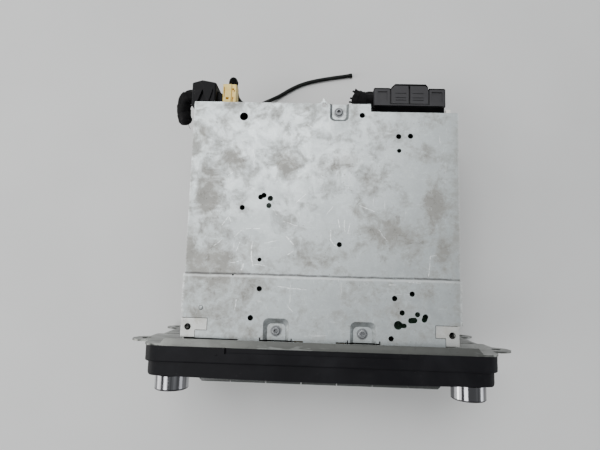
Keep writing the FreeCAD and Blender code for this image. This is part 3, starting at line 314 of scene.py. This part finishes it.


def cover_wear_and_light(mat, col, warm, big, mid, small):
    """Scratches and rubbing, also what they scrape away; painted shade along the fold line and on tilted
    faces, and painted highlights in front of the fold and on the side rims.
    """
    worn = mat.span(mat.noise(620, 4, 0.75), 0.36, 0.60)
    hair = mat.times(mat.lines(SCRATCHES), worn)
    rub_x = mat.noise(300, 4, 0.8, vec=mat.stretch((0.12, 1, 1), (0, 0, 0.5)))
    rub_y = mat.noise(300, 4, 0.8, vec=mat.stretch((1, 0.12, 1), (0, 0, 0.2)))
    rub = mat.span(mat.math("MAXIMUM", rub_x, rub_y), 0.63, 0.72)
    rub = mat.times(rub, mat.span(big, 0.60, 0.42))
    hair = mat.math("MAXIMUM", hair, mat.times(rub, 0.5))
    col = mat.mix(hair, col, (0.90, 0.93, 0.93))

    x, y = mat.plate_xy()
    side = mat.math("ABSOLUTE", x)
    y = mat.plus(y, mat.span(mat.noise(60, 3), 0.2, 0.8, -0.35, 0.35))
    # painted shade: a dark line along the fold
    crease_shade = mat.span(mat.gap(y, CREASE_Y), 0.25, 1.0, 0.85, 0.0)
    col = mat.mix(mat.times(crease_shade, mat.span(small, 0.3, 0.55, 0.55, 1.0)), col, (0.10, 0.10, 0.10))
    # painted highlight: a bright line along the ridge in front of the fold
    ridge_highlight = mat.span(mat.gap(y, RIDGE_Y), 0.2, 1.1, 0.6, 0.0)
    col = mat.mix(mat.times(ridge_highlight, mat.span(small, 0.3, 0.6, 0.4, 1.0)), col, (0.80, 0.83, 0.83))
    # painted highlight along the side rims, broken into patches by the wear noise
    col = mat.mix(mat.times(mat.span(side, *RIM_HIGHLIGHT_X, 0.0, 0.8), worn), col, (0.85, 0.87, 0.87))
    dull = mat.times(mat.span(side, 80.0, 88.5), 0.4)
    col = mat.mix(mat.times(dull, mat.span(mid, 0.35, 0.6)), col, warm)
    # painted shade: tilted faces are darkened
    slope_shade = mat.times(mat.slope(0.90, 0.985), mat.span(small, 0.3, 0.7, 0.45, 0.8))
    return mat.mix(slope_shade, col, (0.13, 0.14, 0.14)), hair


def zinc(name, cool, warm, dark, rough=0.42, metal=0.55, marks_and_painted_light=False):
    """Aged zinc plating: cool metal under warm stains, grime, pale bloom and specks."""
    mat = Mat(name)
    big = mat.noise(24, 5, 0.65, warp=0.5)
    mid = mat.noise(88, 6, 0.72, warp=0.5)
    small = mat.noise(230, 5, 0.72, warp=0.4)
    fine = mat.noise(780, 4, 0.75)
    stain = mat.times(mat.span(big, 0.40, 0.66), 0.55)
    if marks_and_painted_light:
        stain = mat.plus(stain, mat.spots(WARM_PATCHES))
        stain = mat.math("SUBTRACT", stain, mat.spots(CLEAN_PATCHES))
    stain = mat.plus(stain, mat.span(mid, 0.34, 0.68, -0.42, 0.42))
    stain = mat.math("ADD", stain, mat.span(small, 0.34, 0.68, -0.22, 0.26), clamp=True)
    col = mat.mix(stain, cool, warm)
    grime = mat.span(mat.noise(170, 6, 0.8, warp=0.8), 0.52, 0.70)
    col = mat.mix(mat.times(grime, mat.times(stain, 0.75)), col, dark)
    bloom = mat.span(mat.noise(310, 5, 0.8), 0.5, 0.68, 0.0, 0.55)
    col = mat.mix(mat.times(bloom, mat.math("SUBTRACT", 1.0, stain)), col, scaled(cool, 1.28))
    col = mat.mix(mat.span(fine, 0.3, 0.7, 0.0, 0.16), col, scaled(cool, 0.62))
    specks = mat.span(mat.cells(300), 0.04, 0.13, 0.75, 0.0)
    col = mat.mix(mat.times(specks, mat.span(mat.noise(46, 3), 0.47, 0.58)), col, dark)
    height = mat.times(fine, 0.4)
    if marks_and_painted_light:
        # scratches and rubbing, with painted shade and painted highlights on the cover
        col, hair = cover_wear_and_light(mat, col, warm, big, mid, small)
        height = mat.math("SUBTRACT", height, mat.times(hair, 0.5))
    gloss = mat.plus(mat.span(mid, 0.3, 0.7, rough - 0.08, rough + 0.10), mat.times(stain, 0.1))
    return mat.set(Base_Color=col, Metallic=metal, Roughness=gloss, Normal=mat.bump(height, 0.3, 0.00009))


def plate_metal(name, base, rough, metal, rolled=0, marks_and_painted_light=False):
    """Sheet metal with faint rolling lines along one axis, and, where asked, dark and light streaks
    painted in as streaky reflections.
    """
    mat = Mat(name)
    scale = [6.0, 6.0, 6.0]
    scale[rolled] = 0.3
    roll = mat.noise(30, 4, 0.7, vec=mat.stretch(scale))
    haze = mat.noise(42, 4, 0.6, warp=0.5)
    col = mat.mix(mat.span(haze, 0.35, 0.7), base, scaled(base, 0.74))
    col = mat.mix(mat.span(mat.noise(240, 4, 0.7), 0.58, 0.72, 0, 0.5), col, scaled(base, 0.5))
    if marks_and_painted_light:
        # painted reflections: dark and light streaks along the plate
        reflection_streaks = mat.noise(60, 4, 0.75, vec=mat.stretch((0.35, 2.2, 1)))
        col = mat.mix(mat.span(reflection_streaks, 0.56, 0.64, 0, 0.75), col, (0.035, 0.036, 0.036))
        col = mat.mix(mat.span(reflection_streaks, 0.40, 0.34, 0, 0.35), col, (0.50, 0.52, 0.50))
    gloss = mat.span(mat.plus(roll, haze), 0.6, 1.4, rough - 0.07, rough + 0.16)
    return mat.set(Base_Color=col, Metallic=metal, Roughness=gloss, Normal=mat.bump(roll, 0.12, 0.00005))


def chrome(name):
    """Turned and plated knob skirts, with dark reflections painted in as streaks round the turn, and
    painted shade in a dark band at the front.
    """
    mat = Mat(name)
    smear = mat.noise(120, 4, 0.7, warp=0.6)
    hair = mat.noise(200, 3, 0.7, vec=mat.stretch((1, 0.04, 1)))
    col = mat.mix(mat.span(smear, 0.5, 0.75, 0, 0.35), (0.58, 0.58, 0.60), (0.36, 0.35, 0.345))
    # both knobs take the left knob's painted reflection streaks
    low, high = (Vector(corner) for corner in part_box("volume_knob"))
    turned = mat.vec("ADD", mat.vec("MULTIPLY", mat.in_box, tuple(high - low)), tuple(low))
    # painted reflections: dark streaks across the skirt stand in for the surroundings mirrored in the
    # chrome
    reflected_streak = mat.noise(230, 2, 0.5, vec=mat.stretch((1, 0.02, 1), vec=turned))
    col = mat.mix(mat.span(reflected_streak, 0.46, 0.58, 0, 0.8), col, (0.10, 0.10, 0.108))
    # painted shade: a dark band round the front of the skirt
    skirt = mat.span(mat.math("ABSOLUTE", mat.normal()[1]), 0.75, 0.97, 1.0, 0.0)
    lip_shade = mat.times(mat.span(mat.apart(mat.in_box)[1], 0.08, 0.13, 1.0, 0.0), skirt)
    col = mat.mix(lip_shade, col, (0.03, 0.03, 0.032))
    gloss = mat.plus(mat.span(smear, 0.4, 0.8, 0.09, 0.24), mat.times(lip_shade, 0.25))
    return mat.set(Base_Color=col, Metallic=1.0, Roughness=gloss, Normal=mat.bump(hair, 0.05, 0.00003))


# ------------------------------------------------------------ plastics, rubber, cloth

PLUG_MIDDLE_X = 60.2     # the painted shade along the harness plug's rear edge steps out round its middle cap
CAP_HALF = 13.2
CAP_STEP = 2.4
PLUG_SHADE_Y = (179.0, 179.35)


def plug_edge_shade(mat):
    """1 on the harness plug's rear border, where shade is painted."""
    x, y = mat.plate_xy()
    step = mat.math("SUBTRACT", CAP_HALF, mat.gap(x, PLUG_MIDDLE_X))
    step = mat.math("MINIMUM", mat.math("MAXIMUM", step, 0.0), CAP_STEP)
    return mat.span(mat.math("SUBTRACT", y, step), *PLUG_SHADE_Y)


def plastic(name, base, rough=0.5, grain=2600, depth=0.00006, dust=0.25, wear=None, coat=0.0,
            shine=0.5, painted_edge_shade=False):
    """Moulded plastic: fine grain, smears, dust motes, worn patches where a wear colour is given, and,
    where asked, painted shade on the harness plug's rear border.
    """
    mat = Mat(name)
    skin = mat.noise(grain, 3, 0.6)
    smear = mat.noise(28, 4, 0.65, warp=0.5)
    col = mat.mix(mat.span(smear, 0.35, 0.75), base, scaled(base, 1.5, 0.004))
    motes = mat.span(mat.cells(620), 0.06, 0.13, 1.0, 0.0)
    motes = mat.times(motes, mat.span(mat.noise(70, 3), 0.52, 0.64))
    col = mat.mix(mat.times(motes, dust), col, (0.42, 0.41, 0.38))
    if wear:
        rub = mat.span(mat.noise(90, 5, 0.7, warp=1.0), 0.6, 0.7)
        col = mat.mix(mat.times(rub, 0.35), col, wear)
    if painted_edge_shade:
        # painted shade: the plug's rear border is painted near-black and its specular level is taken away
        dark = plug_edge_shade(mat)
        col = mat.mix(dark, col, (0.002, 0.002, 0.0025))
        shine = mat.times(mat.math("SUBTRACT", 1.0, dark), shine)
    gloss = mat.span(mat.plus(skin, smear), 0.7, 1.3, rough - 0.07, rough + 0.09)
    return mat.set(Base_Color=col, Roughness=gloss, Coat_Weight=coat, Coat_Roughness=0.12,
                   Specular_IOR_Level=shine, Normal=mat.bump(skin, 0.35, depth))


def soft_black(name, base=(0.012, 0.012, 0.013), rough=0.42, shine=0.5):
    """Rubber, felt and cable sheath, with lint on it."""
    mat = Mat(name)
    skin = mat.noise(900, 3, 0.6)
    smear = mat.noise(90, 4, 0.6)
    col = mat.mix(mat.span(smear, 0.4, 0.75), base, scaled(base, 2.4, 0.006))
    lint = mat.times(mat.span(mat.noise(700, 4, 0.8), 0.62, 0.74), 0.3)
    gloss = mat.span(smear, 0.3, 0.7, rough - 0.08, rough + 0.12)
    return mat.set(Base_Color=mat.mix(lint, col, (0.3, 0.29, 0.27)), Roughness=gloss,
                   Specular_IOR_Level=shine, Normal=mat.bump(skin, 0.25, 0.00006))


def fabric_tape(name):
    mat = Mat(name)
    weave = mat.node("TexWave")
    weave.bands_direction = "Z"
    mat.put(weave.inputs["Vector"], mat.co)
    weave.inputs["Scale"].default_value = 900
    weave.inputs["Distortion"].default_value = 1.2
    fuzz = mat.noise(1500, 4, 0.7)
    col = mat.mix(mat.span(fuzz, 0.3, 0.7), (0.002, 0.002, 0.0025), (0.009, 0.0085, 0.009))
    lint = mat.span(mat.noise(260, 5, 0.8), 0.6, 0.72)
    col = mat.mix(mat.times(lint, 0.35), col, (0.09, 0.085, 0.08))
    return mat.set(Base_Color=col, Roughness=0.8, Sheen_Weight=0.02, Sheen_Roughness=0.5,
                   Specular_IOR_Level=0.15,
                   Normal=mat.bump(mat.plus(weave.outputs["Fac"], fuzz), 0.5, 0.0001))


def beige(name):
    """Aged cream plastic with patches of dirt and a little light inside it."""
    mat = Mat(name)
    age = mat.noise(260, 4, 0.65)
    col = mat.mix(mat.span(age, 0.35, 0.7), (1.0, 0.78, 0.24), (0.94, 0.66, 0.15))
    dirt = mat.span(mat.noise(520, 5, 0.75), 0.62, 0.74, 0, 0.5)
    return mat.set(Base_Color=mat.mix(dirt, col, (0.20, 0.12, 0.05)), Roughness=0.42,
                   Subsurface_Weight=0.03, Subsurface_Radius=(0.002, 0.0012, 0.0005),
                   Subsurface_Scale=0.5, Normal=mat.bump(age, 0.15, 0.0001))


# ------------------------------------------------------------ board, display, lens

def board(name):
    """Green circuit board with copper tracks under the lacquer and tinned pads."""
    mat = Mat(name)
    tracks = mat.cells(240, "DISTANCE_TO_EDGE", 0.0)
    broad = mat.cells(110, "DISTANCE_TO_EDGE")
    col = mat.mix(mat.span(broad, 0.02, 0.05), (0.008, 0.045, 0.022), (0.006, 0.026, 0.014))
    col = mat.mix(mat.span(tracks, 0.03, 0.06, 0.5, 0), col, (0.015, 0.07, 0.03))
    pads = mat.span(mat.cells(420), 0.1, 0.16, 1.0, 0.0)
    col = mat.mix(mat.times(pads, 0.5), col, (0.30, 0.29, 0.26))
    return mat.set(Base_Color=col, Roughness=0.38, Normal=mat.bump(broad, 0.2, 0.00005))


def display(name):
    """A switched-off dot display: a fine grid and a haze."""
    mat = Mat(name)
    x, _, z = mat.apart(mat.co)
    dots_per_metre = 700
    grid_x = mat.math("FRACT", mat.times(x, dots_per_metre))
    grid_z = mat.math("FRACT", mat.times(z, dots_per_metre))
    grid = mat.times(mat.span(grid_x, 0.08, 0.16), mat.span(grid_z, 0.08, 0.16))
    col = mat.mix(grid, (0.012, 0.016, 0.015), (0.03, 0.042, 0.038))
    col = mat.mix(mat.span(mat.noise(40, 3), 0.4, 0.7, 0, 0.4), col, (0.05, 0.058, 0.054))
    return mat.set(Base_Color=col, Roughness=0.25)


def smoked(name):
    mat = Mat(name)
    smear = mat.noise(55, 4, 0.65, warp=0.7)
    col = mat.mix(mat.span(smear, 0.4, 0.7), (0.10, 0.10, 0.11), (0.14, 0.14, 0.145))
    return mat.set(Base_Color=col, Transmission_Weight=0.82, IOR=1.49,
                   Roughness=mat.span(smear, 0.4, 0.75, 0.04, 0.16))


MATS = {
    "zinc_cover": zinc("zinc_cover", (0.50, 0.542, 0.548), (0.315, 0.313, 0.292), (0.14, 0.132, 0.115),
                       marks_and_painted_light=True),
    "zinc_light": zinc("zinc_light", (0.62, 0.63, 0.61), (0.50, 0.49, 0.44), (0.22, 0.20, 0.16),
                       rough=0.4, metal=0.45),
    "zinc_plate": plate_metal("zinc_plate", (0.19, 0.196, 0.184), 0.30, 0.85, marks_and_painted_light=True),
    "steel": plate_metal("steel", (0.60, 0.60, 0.61), 0.3, 1.0, rolled=1),
    "screw_steel": plate_metal("screw_steel", (0.27, 0.28, 0.29), 0.40, 0.8, rolled=2),
    "black_anodised": plate_metal("black_anodised", (0.028, 0.028, 0.030), 0.42, 0.6),
    "chrome": chrome("chrome"),
    "black_plastic": plastic("black_plastic", (0.0046, 0.0046, 0.0060), 0.5, 2400, 0.00008, 0.12,
                             shine=0.13),
    "gloss_black": plastic("gloss_black", (0.005, 0.005, 0.006), 0.2, 1500, 0.00001, 0.2, coat=0.35,
                           shine=0.4),
    "key_plastic": plastic("key_plastic", (0.05, 0.055, 0.053), 0.24, 1800, 0.00002, 0.2, coat=0.3),
    "chip_black": plastic("chip_black", (0.018, 0.018, 0.02), 0.5, 2200, 0.00006, 0.3),
    "can_sleeve": plastic("can_sleeve", (0.02, 0.025, 0.05), 0.28, 1600, 0.00002, 0.2),
    "flex": plastic("flex", (0.30, 0.17, 0.035), 0.3, 900, 0.00003, 0.1),
    "connector_black": plastic("connector_black", (0.0035, 0.0035, 0.0045), 0.52, 2000, 0.00006, 0.3,
                               wear=(0.026, 0.024, 0.026), shine=0.14),
    "connector_grey": plastic("connector_grey", (0.026, 0.0255, 0.0285), 0.5, 2000, 0.00007, 0.3,
                              wear=(0.075, 0.070, 0.076), shine=0.32, painted_edge_shade=True),
    # painted shade: the socket sits in shadow behind the plug, so its plastic is made near-black with
    # almost no shine
    "socket_black": plastic("socket_black", (0.0006, 0.0006, 0.0008), 0.7, 2000, 0.00006, 0.04,
                            shine=0.01),
    "white_plastic": plastic("white_plastic", (0.80, 0.79, 0.75), 0.42, 1500, 0.00004, 0.3),
    "beige_plastic": beige("beige_plastic"),
    "felt": soft_black("felt", (0.01, 0.01, 0.01), 0.9),
    "cable_black": soft_black("cable_black", (0.003, 0.004, 0.0035), 0.45, 0.15),
    "rubber": soft_black("rubber", (0.0012, 0.0014, 0.0012), 0.6, 0.03),
    "cloth_tape": fabric_tape("cloth_tape"),
    "pcb": board("pcb"),
    "lcd": display("lcd"),
    "smoked_lens": smoked("smoked_lens"),
}
for part in frame["record"]["subparts"]:
    ob = NODES[part["node"]]
    ob.data.materials.clear()
    ob.data.materials.append(MATS[part["material_slot"]])


# ------------------------------------------------------------ piece kit

def piece(name, verts, faces, slot, smooth=True):
    me = bpy.data.meshes.new(name)
    me.from_pydata([tuple(v) for v in verts], [], faces)
    me.validate()
    me.update()
    for p in me.polygons:
        p.use_smooth = smooth
    me.materials.append(MATS[slot])
    ob = link(name, me)
    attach(ob, "chassis")
    return ob


def smooth_line(name, route, steps):
    """A curve whose control points are the route's, in plate-based millimetres."""
    cu = bpy.data.curves.new(name, "CURVE")
    cu.dimensions = "3D"
    sp = cu.splines.new("NURBS")
    sp.points.add(len(route) - 1)
    for p, q in zip(sp.points, route):
        p.co = (*at(*q), 1)
    sp.order_u = 3
    sp.use_endpoint_u = True
    sp.resolution_u = steps
    return cu


def line_points(route):
    """Points along the smooth line of a route."""
    cu = smooth_line("guide", route, 24)
    ob = link("guide", cu)
    me = bpy.data.meshes.new_from_object(ob.evaluated_get(bpy.context.evaluated_depsgraph_get()))
    pts = [v.co.copy() for v in me.vertices]
    bpy.data.objects.remove(ob)
    bpy.data.curves.remove(cu)
    bpy.data.meshes.remove(me)
    return pts


def even(pts, step):
    """The same line with points at an even spacing, and the length so far at each."""
    out, dist, carry, total = [pts[0]], [0.0], 0.0, 0.0
    for a, b in zip(pts, pts[1:]):
        seg = (b - a).length
        while carry + seg >= step:
            a = a.lerp(b, (step - carry) / seg)
            seg -= step - carry
            carry = 0.0
            total += step
            out.append(a)
            dist.append(total)
        carry += seg
    if carry > step * 0.3:
        out.append(pts[-1])
        dist.append(total + carry)
    return out, dist


def crosses(pts):
    """A steady sideways, upward and forward direction at each point of a line."""
    up = Vector((0.13, 0.2, 1)).normalized()
    out = []
    for i in range(len(pts)):
        forward = (pts[min(i + 1, len(pts) - 1)] - pts[max(i - 1, 0)]).normalized()
        side = forward.cross(up)
        if side.length < 1e-4:
            side = forward.cross(Vector((1, 0, 0)))
        side.normalize()
        up = side.cross(forward).normalized()
        out.append((side, up, forward))
    return out


def ring_faces(rings, sides):
    """Faces between the rings of a tube."""
    faces = []
    for i in range(rings - 1):
        for j in range(sides):
            k = (j + 1) % sides
            faces.append((i * sides + j, i * sides + k, (i + 1) * sides + k, (i + 1) * sides + j))
    return faces


def last_ring(rings, sides):
    return tuple((rings - 1) * sides + j for j in range(sides))


TAPE_STEP = 0.00038     # spacing of the rings of a wrapped bundle
TAPE_PITCH = 0.0062     # from one turn of tape to the next
TAPE_THICK = 0.00042
TAPE_SIDES = 40
TAPE_INSET = 0.00075     # room left under the tape for its laps and lumps
ROUNDING = 0.8     # length of the rounded end, in radii


def tape_relief(angle, share, s, seed, lumps):
    """How far the tape stands out at an angle round a bundle and a length along it."""
    wander = 0.10 * mnoise.noise(Vector((s * 160, seed, 0)))
    turn = (s / TAPE_PITCH + share + wander) % 1.0
    lap = TAPE_THICK * (1 - turn) - (TAPE_THICK * 1.2 if turn > 0.94 else 0)
    round_it = Vector((math.cos(angle) * 1.3, math.sin(angle) * 1.3, s * 210 + seed))
    lump = 0.00042 * lumps * mnoise.noise(round_it)
    strand = 0.00028 * lumps * abs(math.cos(2.5 * angle + s * 60 + seed))
    crease_shade = 0.00012 * mnoise.noise(Vector((angle * 4, s * 900, seed)))
    return lap + lump + strand + crease_shade


def wrapped(name, route, radius, seed, lumps):
    """A bundle bound in overlapping turns of cloth tape, closed and rounded at its free end."""
    pts, dist = even(line_points(route), TAPE_STEP)
    cross = crosses(pts)
    sides, rounded = TAPE_SIDES, radius * ROUNDING
    verts = []
    for p, s, (side, up, _) in zip(pts, dist, cross):
        left = dist[-1] - s
        cap = 1.0 if left > rounded else math.sqrt(max(0.0, 1 - (1 - left / rounded) ** 2))
        for j in range(sides):
            a = 2 * math.pi * j / sides
            r = (radius - TAPE_INSET + tape_relief(a, j / sides, s, seed, lumps)) * cap
            verts.append(p + side * (math.cos(a) * r) + up * (math.sin(a) * r))
    faces = ring_faces(len(pts), sides)
    for ring, flip in ((0, True), (len(pts) - 1, False)):
        verts.append(sum((verts[ring * sides + j] for j in range(sides)), Vector()) / sides)
        middle = len(verts) - 1
        for j in range(sides):
            face = (ring * sides + j, ring * sides + (j + 1) % sides, middle)
            faces.append(face[::-1] if flip else face)
    return piece(name, verts, faces, "cloth_tape"), pts[-1], cross[-1]


def tube(name, route, radius, slot, sides):
    """A plain mesh tube along the smooth line of a short route."""
    pts = even(line_points(route), radius * 0.8)[0]
    verts = []
    for p, (side, up, _) in zip(pts, crosses(pts)):
        for j in range(sides):
            a = 2 * math.pi * j / sides
            verts.append(p + side * (math.cos(a) * radius) + up * (math.sin(a) * radius))
    faces = ring_faces(len(pts), sides)
    faces += [tuple(range(sides))[::-1], last_ring(len(pts), sides)]
    return piece(name, verts, faces, slot)


def ribbon(name, middle, across, width, thick, slot):
    """A thin flat strip along points, with its own thickness."""
    verts = []
    last = len(middle) - 1
    for i, p in enumerate(middle):
        forward = (middle[min(i + 1, last)] - middle[max(i - 1, 0)]).normalized()
        up = forward.cross(across).normalized()
        for a, b in ((-1, -1), (1, -1), (1, 1), (-1, 1)):
            verts.append(p + across * (width / 2 * a) + up * (thick / 2 * b))
    faces = ring_faces(len(middle), 4) + [(3, 2, 1, 0), last_ring(len(middle), 4)]
    return piece(name, verts, faces, slot, smooth=False)


# ------------------------------------------------------------ the aerial lead

LEAD = [
    (-67.8, 187.4, 76.5), (-67.8, 187.4, 71.0), (-68.6, 185.6, 64.8), (-68.6, 183.2, 58.4),
    (-66.4, 181.8, 51.6), (-62.2, 182.4, 44.6), (-58.2, 185.4, 36.8), (-55.5, 190.0, 27.6),
    (-53.2, 195.4, 17.8), (-51.0, 200.6, 9.4), (-46.8, 205.2, 3.6), (-40.4, 209.2, 1.8),
    (-33.4, 213.9, 1.8), (-26.4, 218.0, 1.8), (-18.9, 221.4, 1.8), (-9.6, 224.1, 1.8),
    (2.0, 226.5, 1.8), (14.0, 228.5, 1.8), (25.8, 230.4, 1.8),
]
LEAD_R = 1.7
# the cut end's outline in millimetres: place along the lead from its tip, and radius
CUT_OUTLINE = [(-3.6, 1.71), (-2.8, 1.82), (-1.9, 1.98), (-1.0, 2.08), (-0.35, 2.05), (0.0, 1.85),
               (-0.1, 1.35), (-0.5, 1.05)]
CUT_SIDES = 24
RAGGED_FROM = 4     # the first ring of the outline with a ragged edge


def cut_end(tip, forward):
    """The lead's cut end: a pinched, slightly flared sheath with the core just showing."""
    side = forward.cross(Vector((0, 0, 1))).normalized()
    up = side.cross(forward)
    rnd = random.Random(7)
    ragged = [rnd.uniform(-0.35, 0.1) for _ in range(CUT_SIDES)]
    verts = []
    for i, (along, radius) in enumerate(CUT_OUTLINE):
        for j in range(CUT_SIDES):
            a = 2 * math.pi * j / CUT_SIDES
            pinch = 0.05 * math.cos(3 * a + 1) if i > 1 else 0.0
            r = radius * (1 + pinch) * MM
            off = side * (math.cos(a) * r)
            off.z += max(up.z * math.sin(a) * r, -LEAD_R * MM)
            rag = ragged[j] if i >= RAGGED_FROM else 0
            verts.append(tip + forward * ((along + rag) * MM) + off)
    rings = len(CUT_OUTLINE)
    faces = ring_faces(rings, CUT_SIDES) + [last_ring(rings, CUT_SIDES)]
    return piece("lead_cut_end", verts, faces, "cable_black")


curve = smooth_line("coax_lead", LEAD, 20)
curve.bevel_depth = LEAD_R * MM
curve.bevel_resolution = 8
curve.use_fill_caps = True
curve.materials.append(MATS["cable_black"])
lead = link("coax_lead", curve)
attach(lead, "chassis")
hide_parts("coax_cord")

points = line_points(LEAD)
tip = points[-1]
forward = (points[-1] - points[-4]).normalized()
end = cut_end(tip, forward)
core = tube("lead_core", [to_mm(tip + forward * (s * MM)) for s in (-1.5, -0.4, 0.35)], 0.0004, "steel", 8)


# ------------------------------------------------------------ taped bundles

STUB_L = [(-94.4, 172.4, 86.2), (-99.0, 172.4, 86.2), (-102.3, 168.6, 85.3),
          (-102.8, 162.6, 83.5), (-102.2, 157.2, 81.9), (-101.3, 152.8, 80.5)]
STUB_R = [(34.6, 173.6, 81.6), (29.2, 173.6, 81.6), (24.0, 174.6, 81.4), (19.8, 176.2, 81.0)]

left, left_tip, left_cross = wrapped("taped_bundle_left", STUB_L, 0.0052, seed=3.1, lumps=1.7)
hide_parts("taped_stub_left")
right, right_tip, right_cross = wrapped("taped_bundle_right", STUB_R, 0.0062, seed=8.4, lumps=2.2)
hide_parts("taped_stub_right")

# the left bundle's loose thread: millimetres forward, sideways and upward from its free end
THREAD = [(-2.0, -2.0, 0.0), (0.6, -2.2, 0.0), (2.0, -2.4, 0.0), (3.3, -2.9, -0.4)]
side, up, forward = left_cross
thread = [left_tip + (forward * f + side * s + up * u) * MM for f, s, u in THREAD]
tube("frayed_thread", [to_mm(p) for p in thread], 0.00016, "cloth_tape", 6)

# the right bundle's cut wires: angle, and millimetres from its middle and out of its free end
WIRE_ENDS = [(0.6, 4.0, 1.0), (2.4, 3.4, 0.6), (4.0, 3.6, 1.2)]
side, up, forward = right_cross
for number, (angle, away, out) in enumerate(WIRE_ENDS, 1):
    off = (side * math.cos(angle) + up * math.sin(angle)) * (away * MM)
    wire = [right_tip + off * 0.9 - forward * 0.003, right_tip + off - forward * 0.0002,
            right_tip + off * 1.1 + forward * (out * MM)]
    tube("wire_end_%d" % number, [to_mm(p) for p in wire], 0.00065, "cable_black", 8)
tail = [right_tip + (up * (6.3 - 0.1 * n) - forward * (5.2 - 1.1 * n) + side * (0.5 * n)) * MM
        for n in range(5)]
ribbon("tape_tail", tail, side, 0.0040, 0.00016, "cloth_tape")


# ------------------------------------------------------------ floor

FLOOR_HALF = 3.0
FLOOR_Z = -0.00004     # just under the object, so that the two faces don't flicker
corners = [(x * FLOOR_HALF, y * FLOOR_HALF, FLOOR_Z) for x, y in ((-1, -1), (1, -1), (1, 1), (-1, 1))]
floor = bpy.data.meshes.new("floor")
floor.from_pydata(corners, [], [(0, 1, 2, 3)])
mat = Mat("floor")
pale = mat.mix(mat.span(mat.noise(6, 3), 0.3, 0.7), (0.70, 0.705, 0.70), (0.74, 0.745, 0.74))
floor.materials.append(mat.set(Base_Color=pale, Roughness=0.85))
link("floor", floor)

bpy.context.view_layer.update()
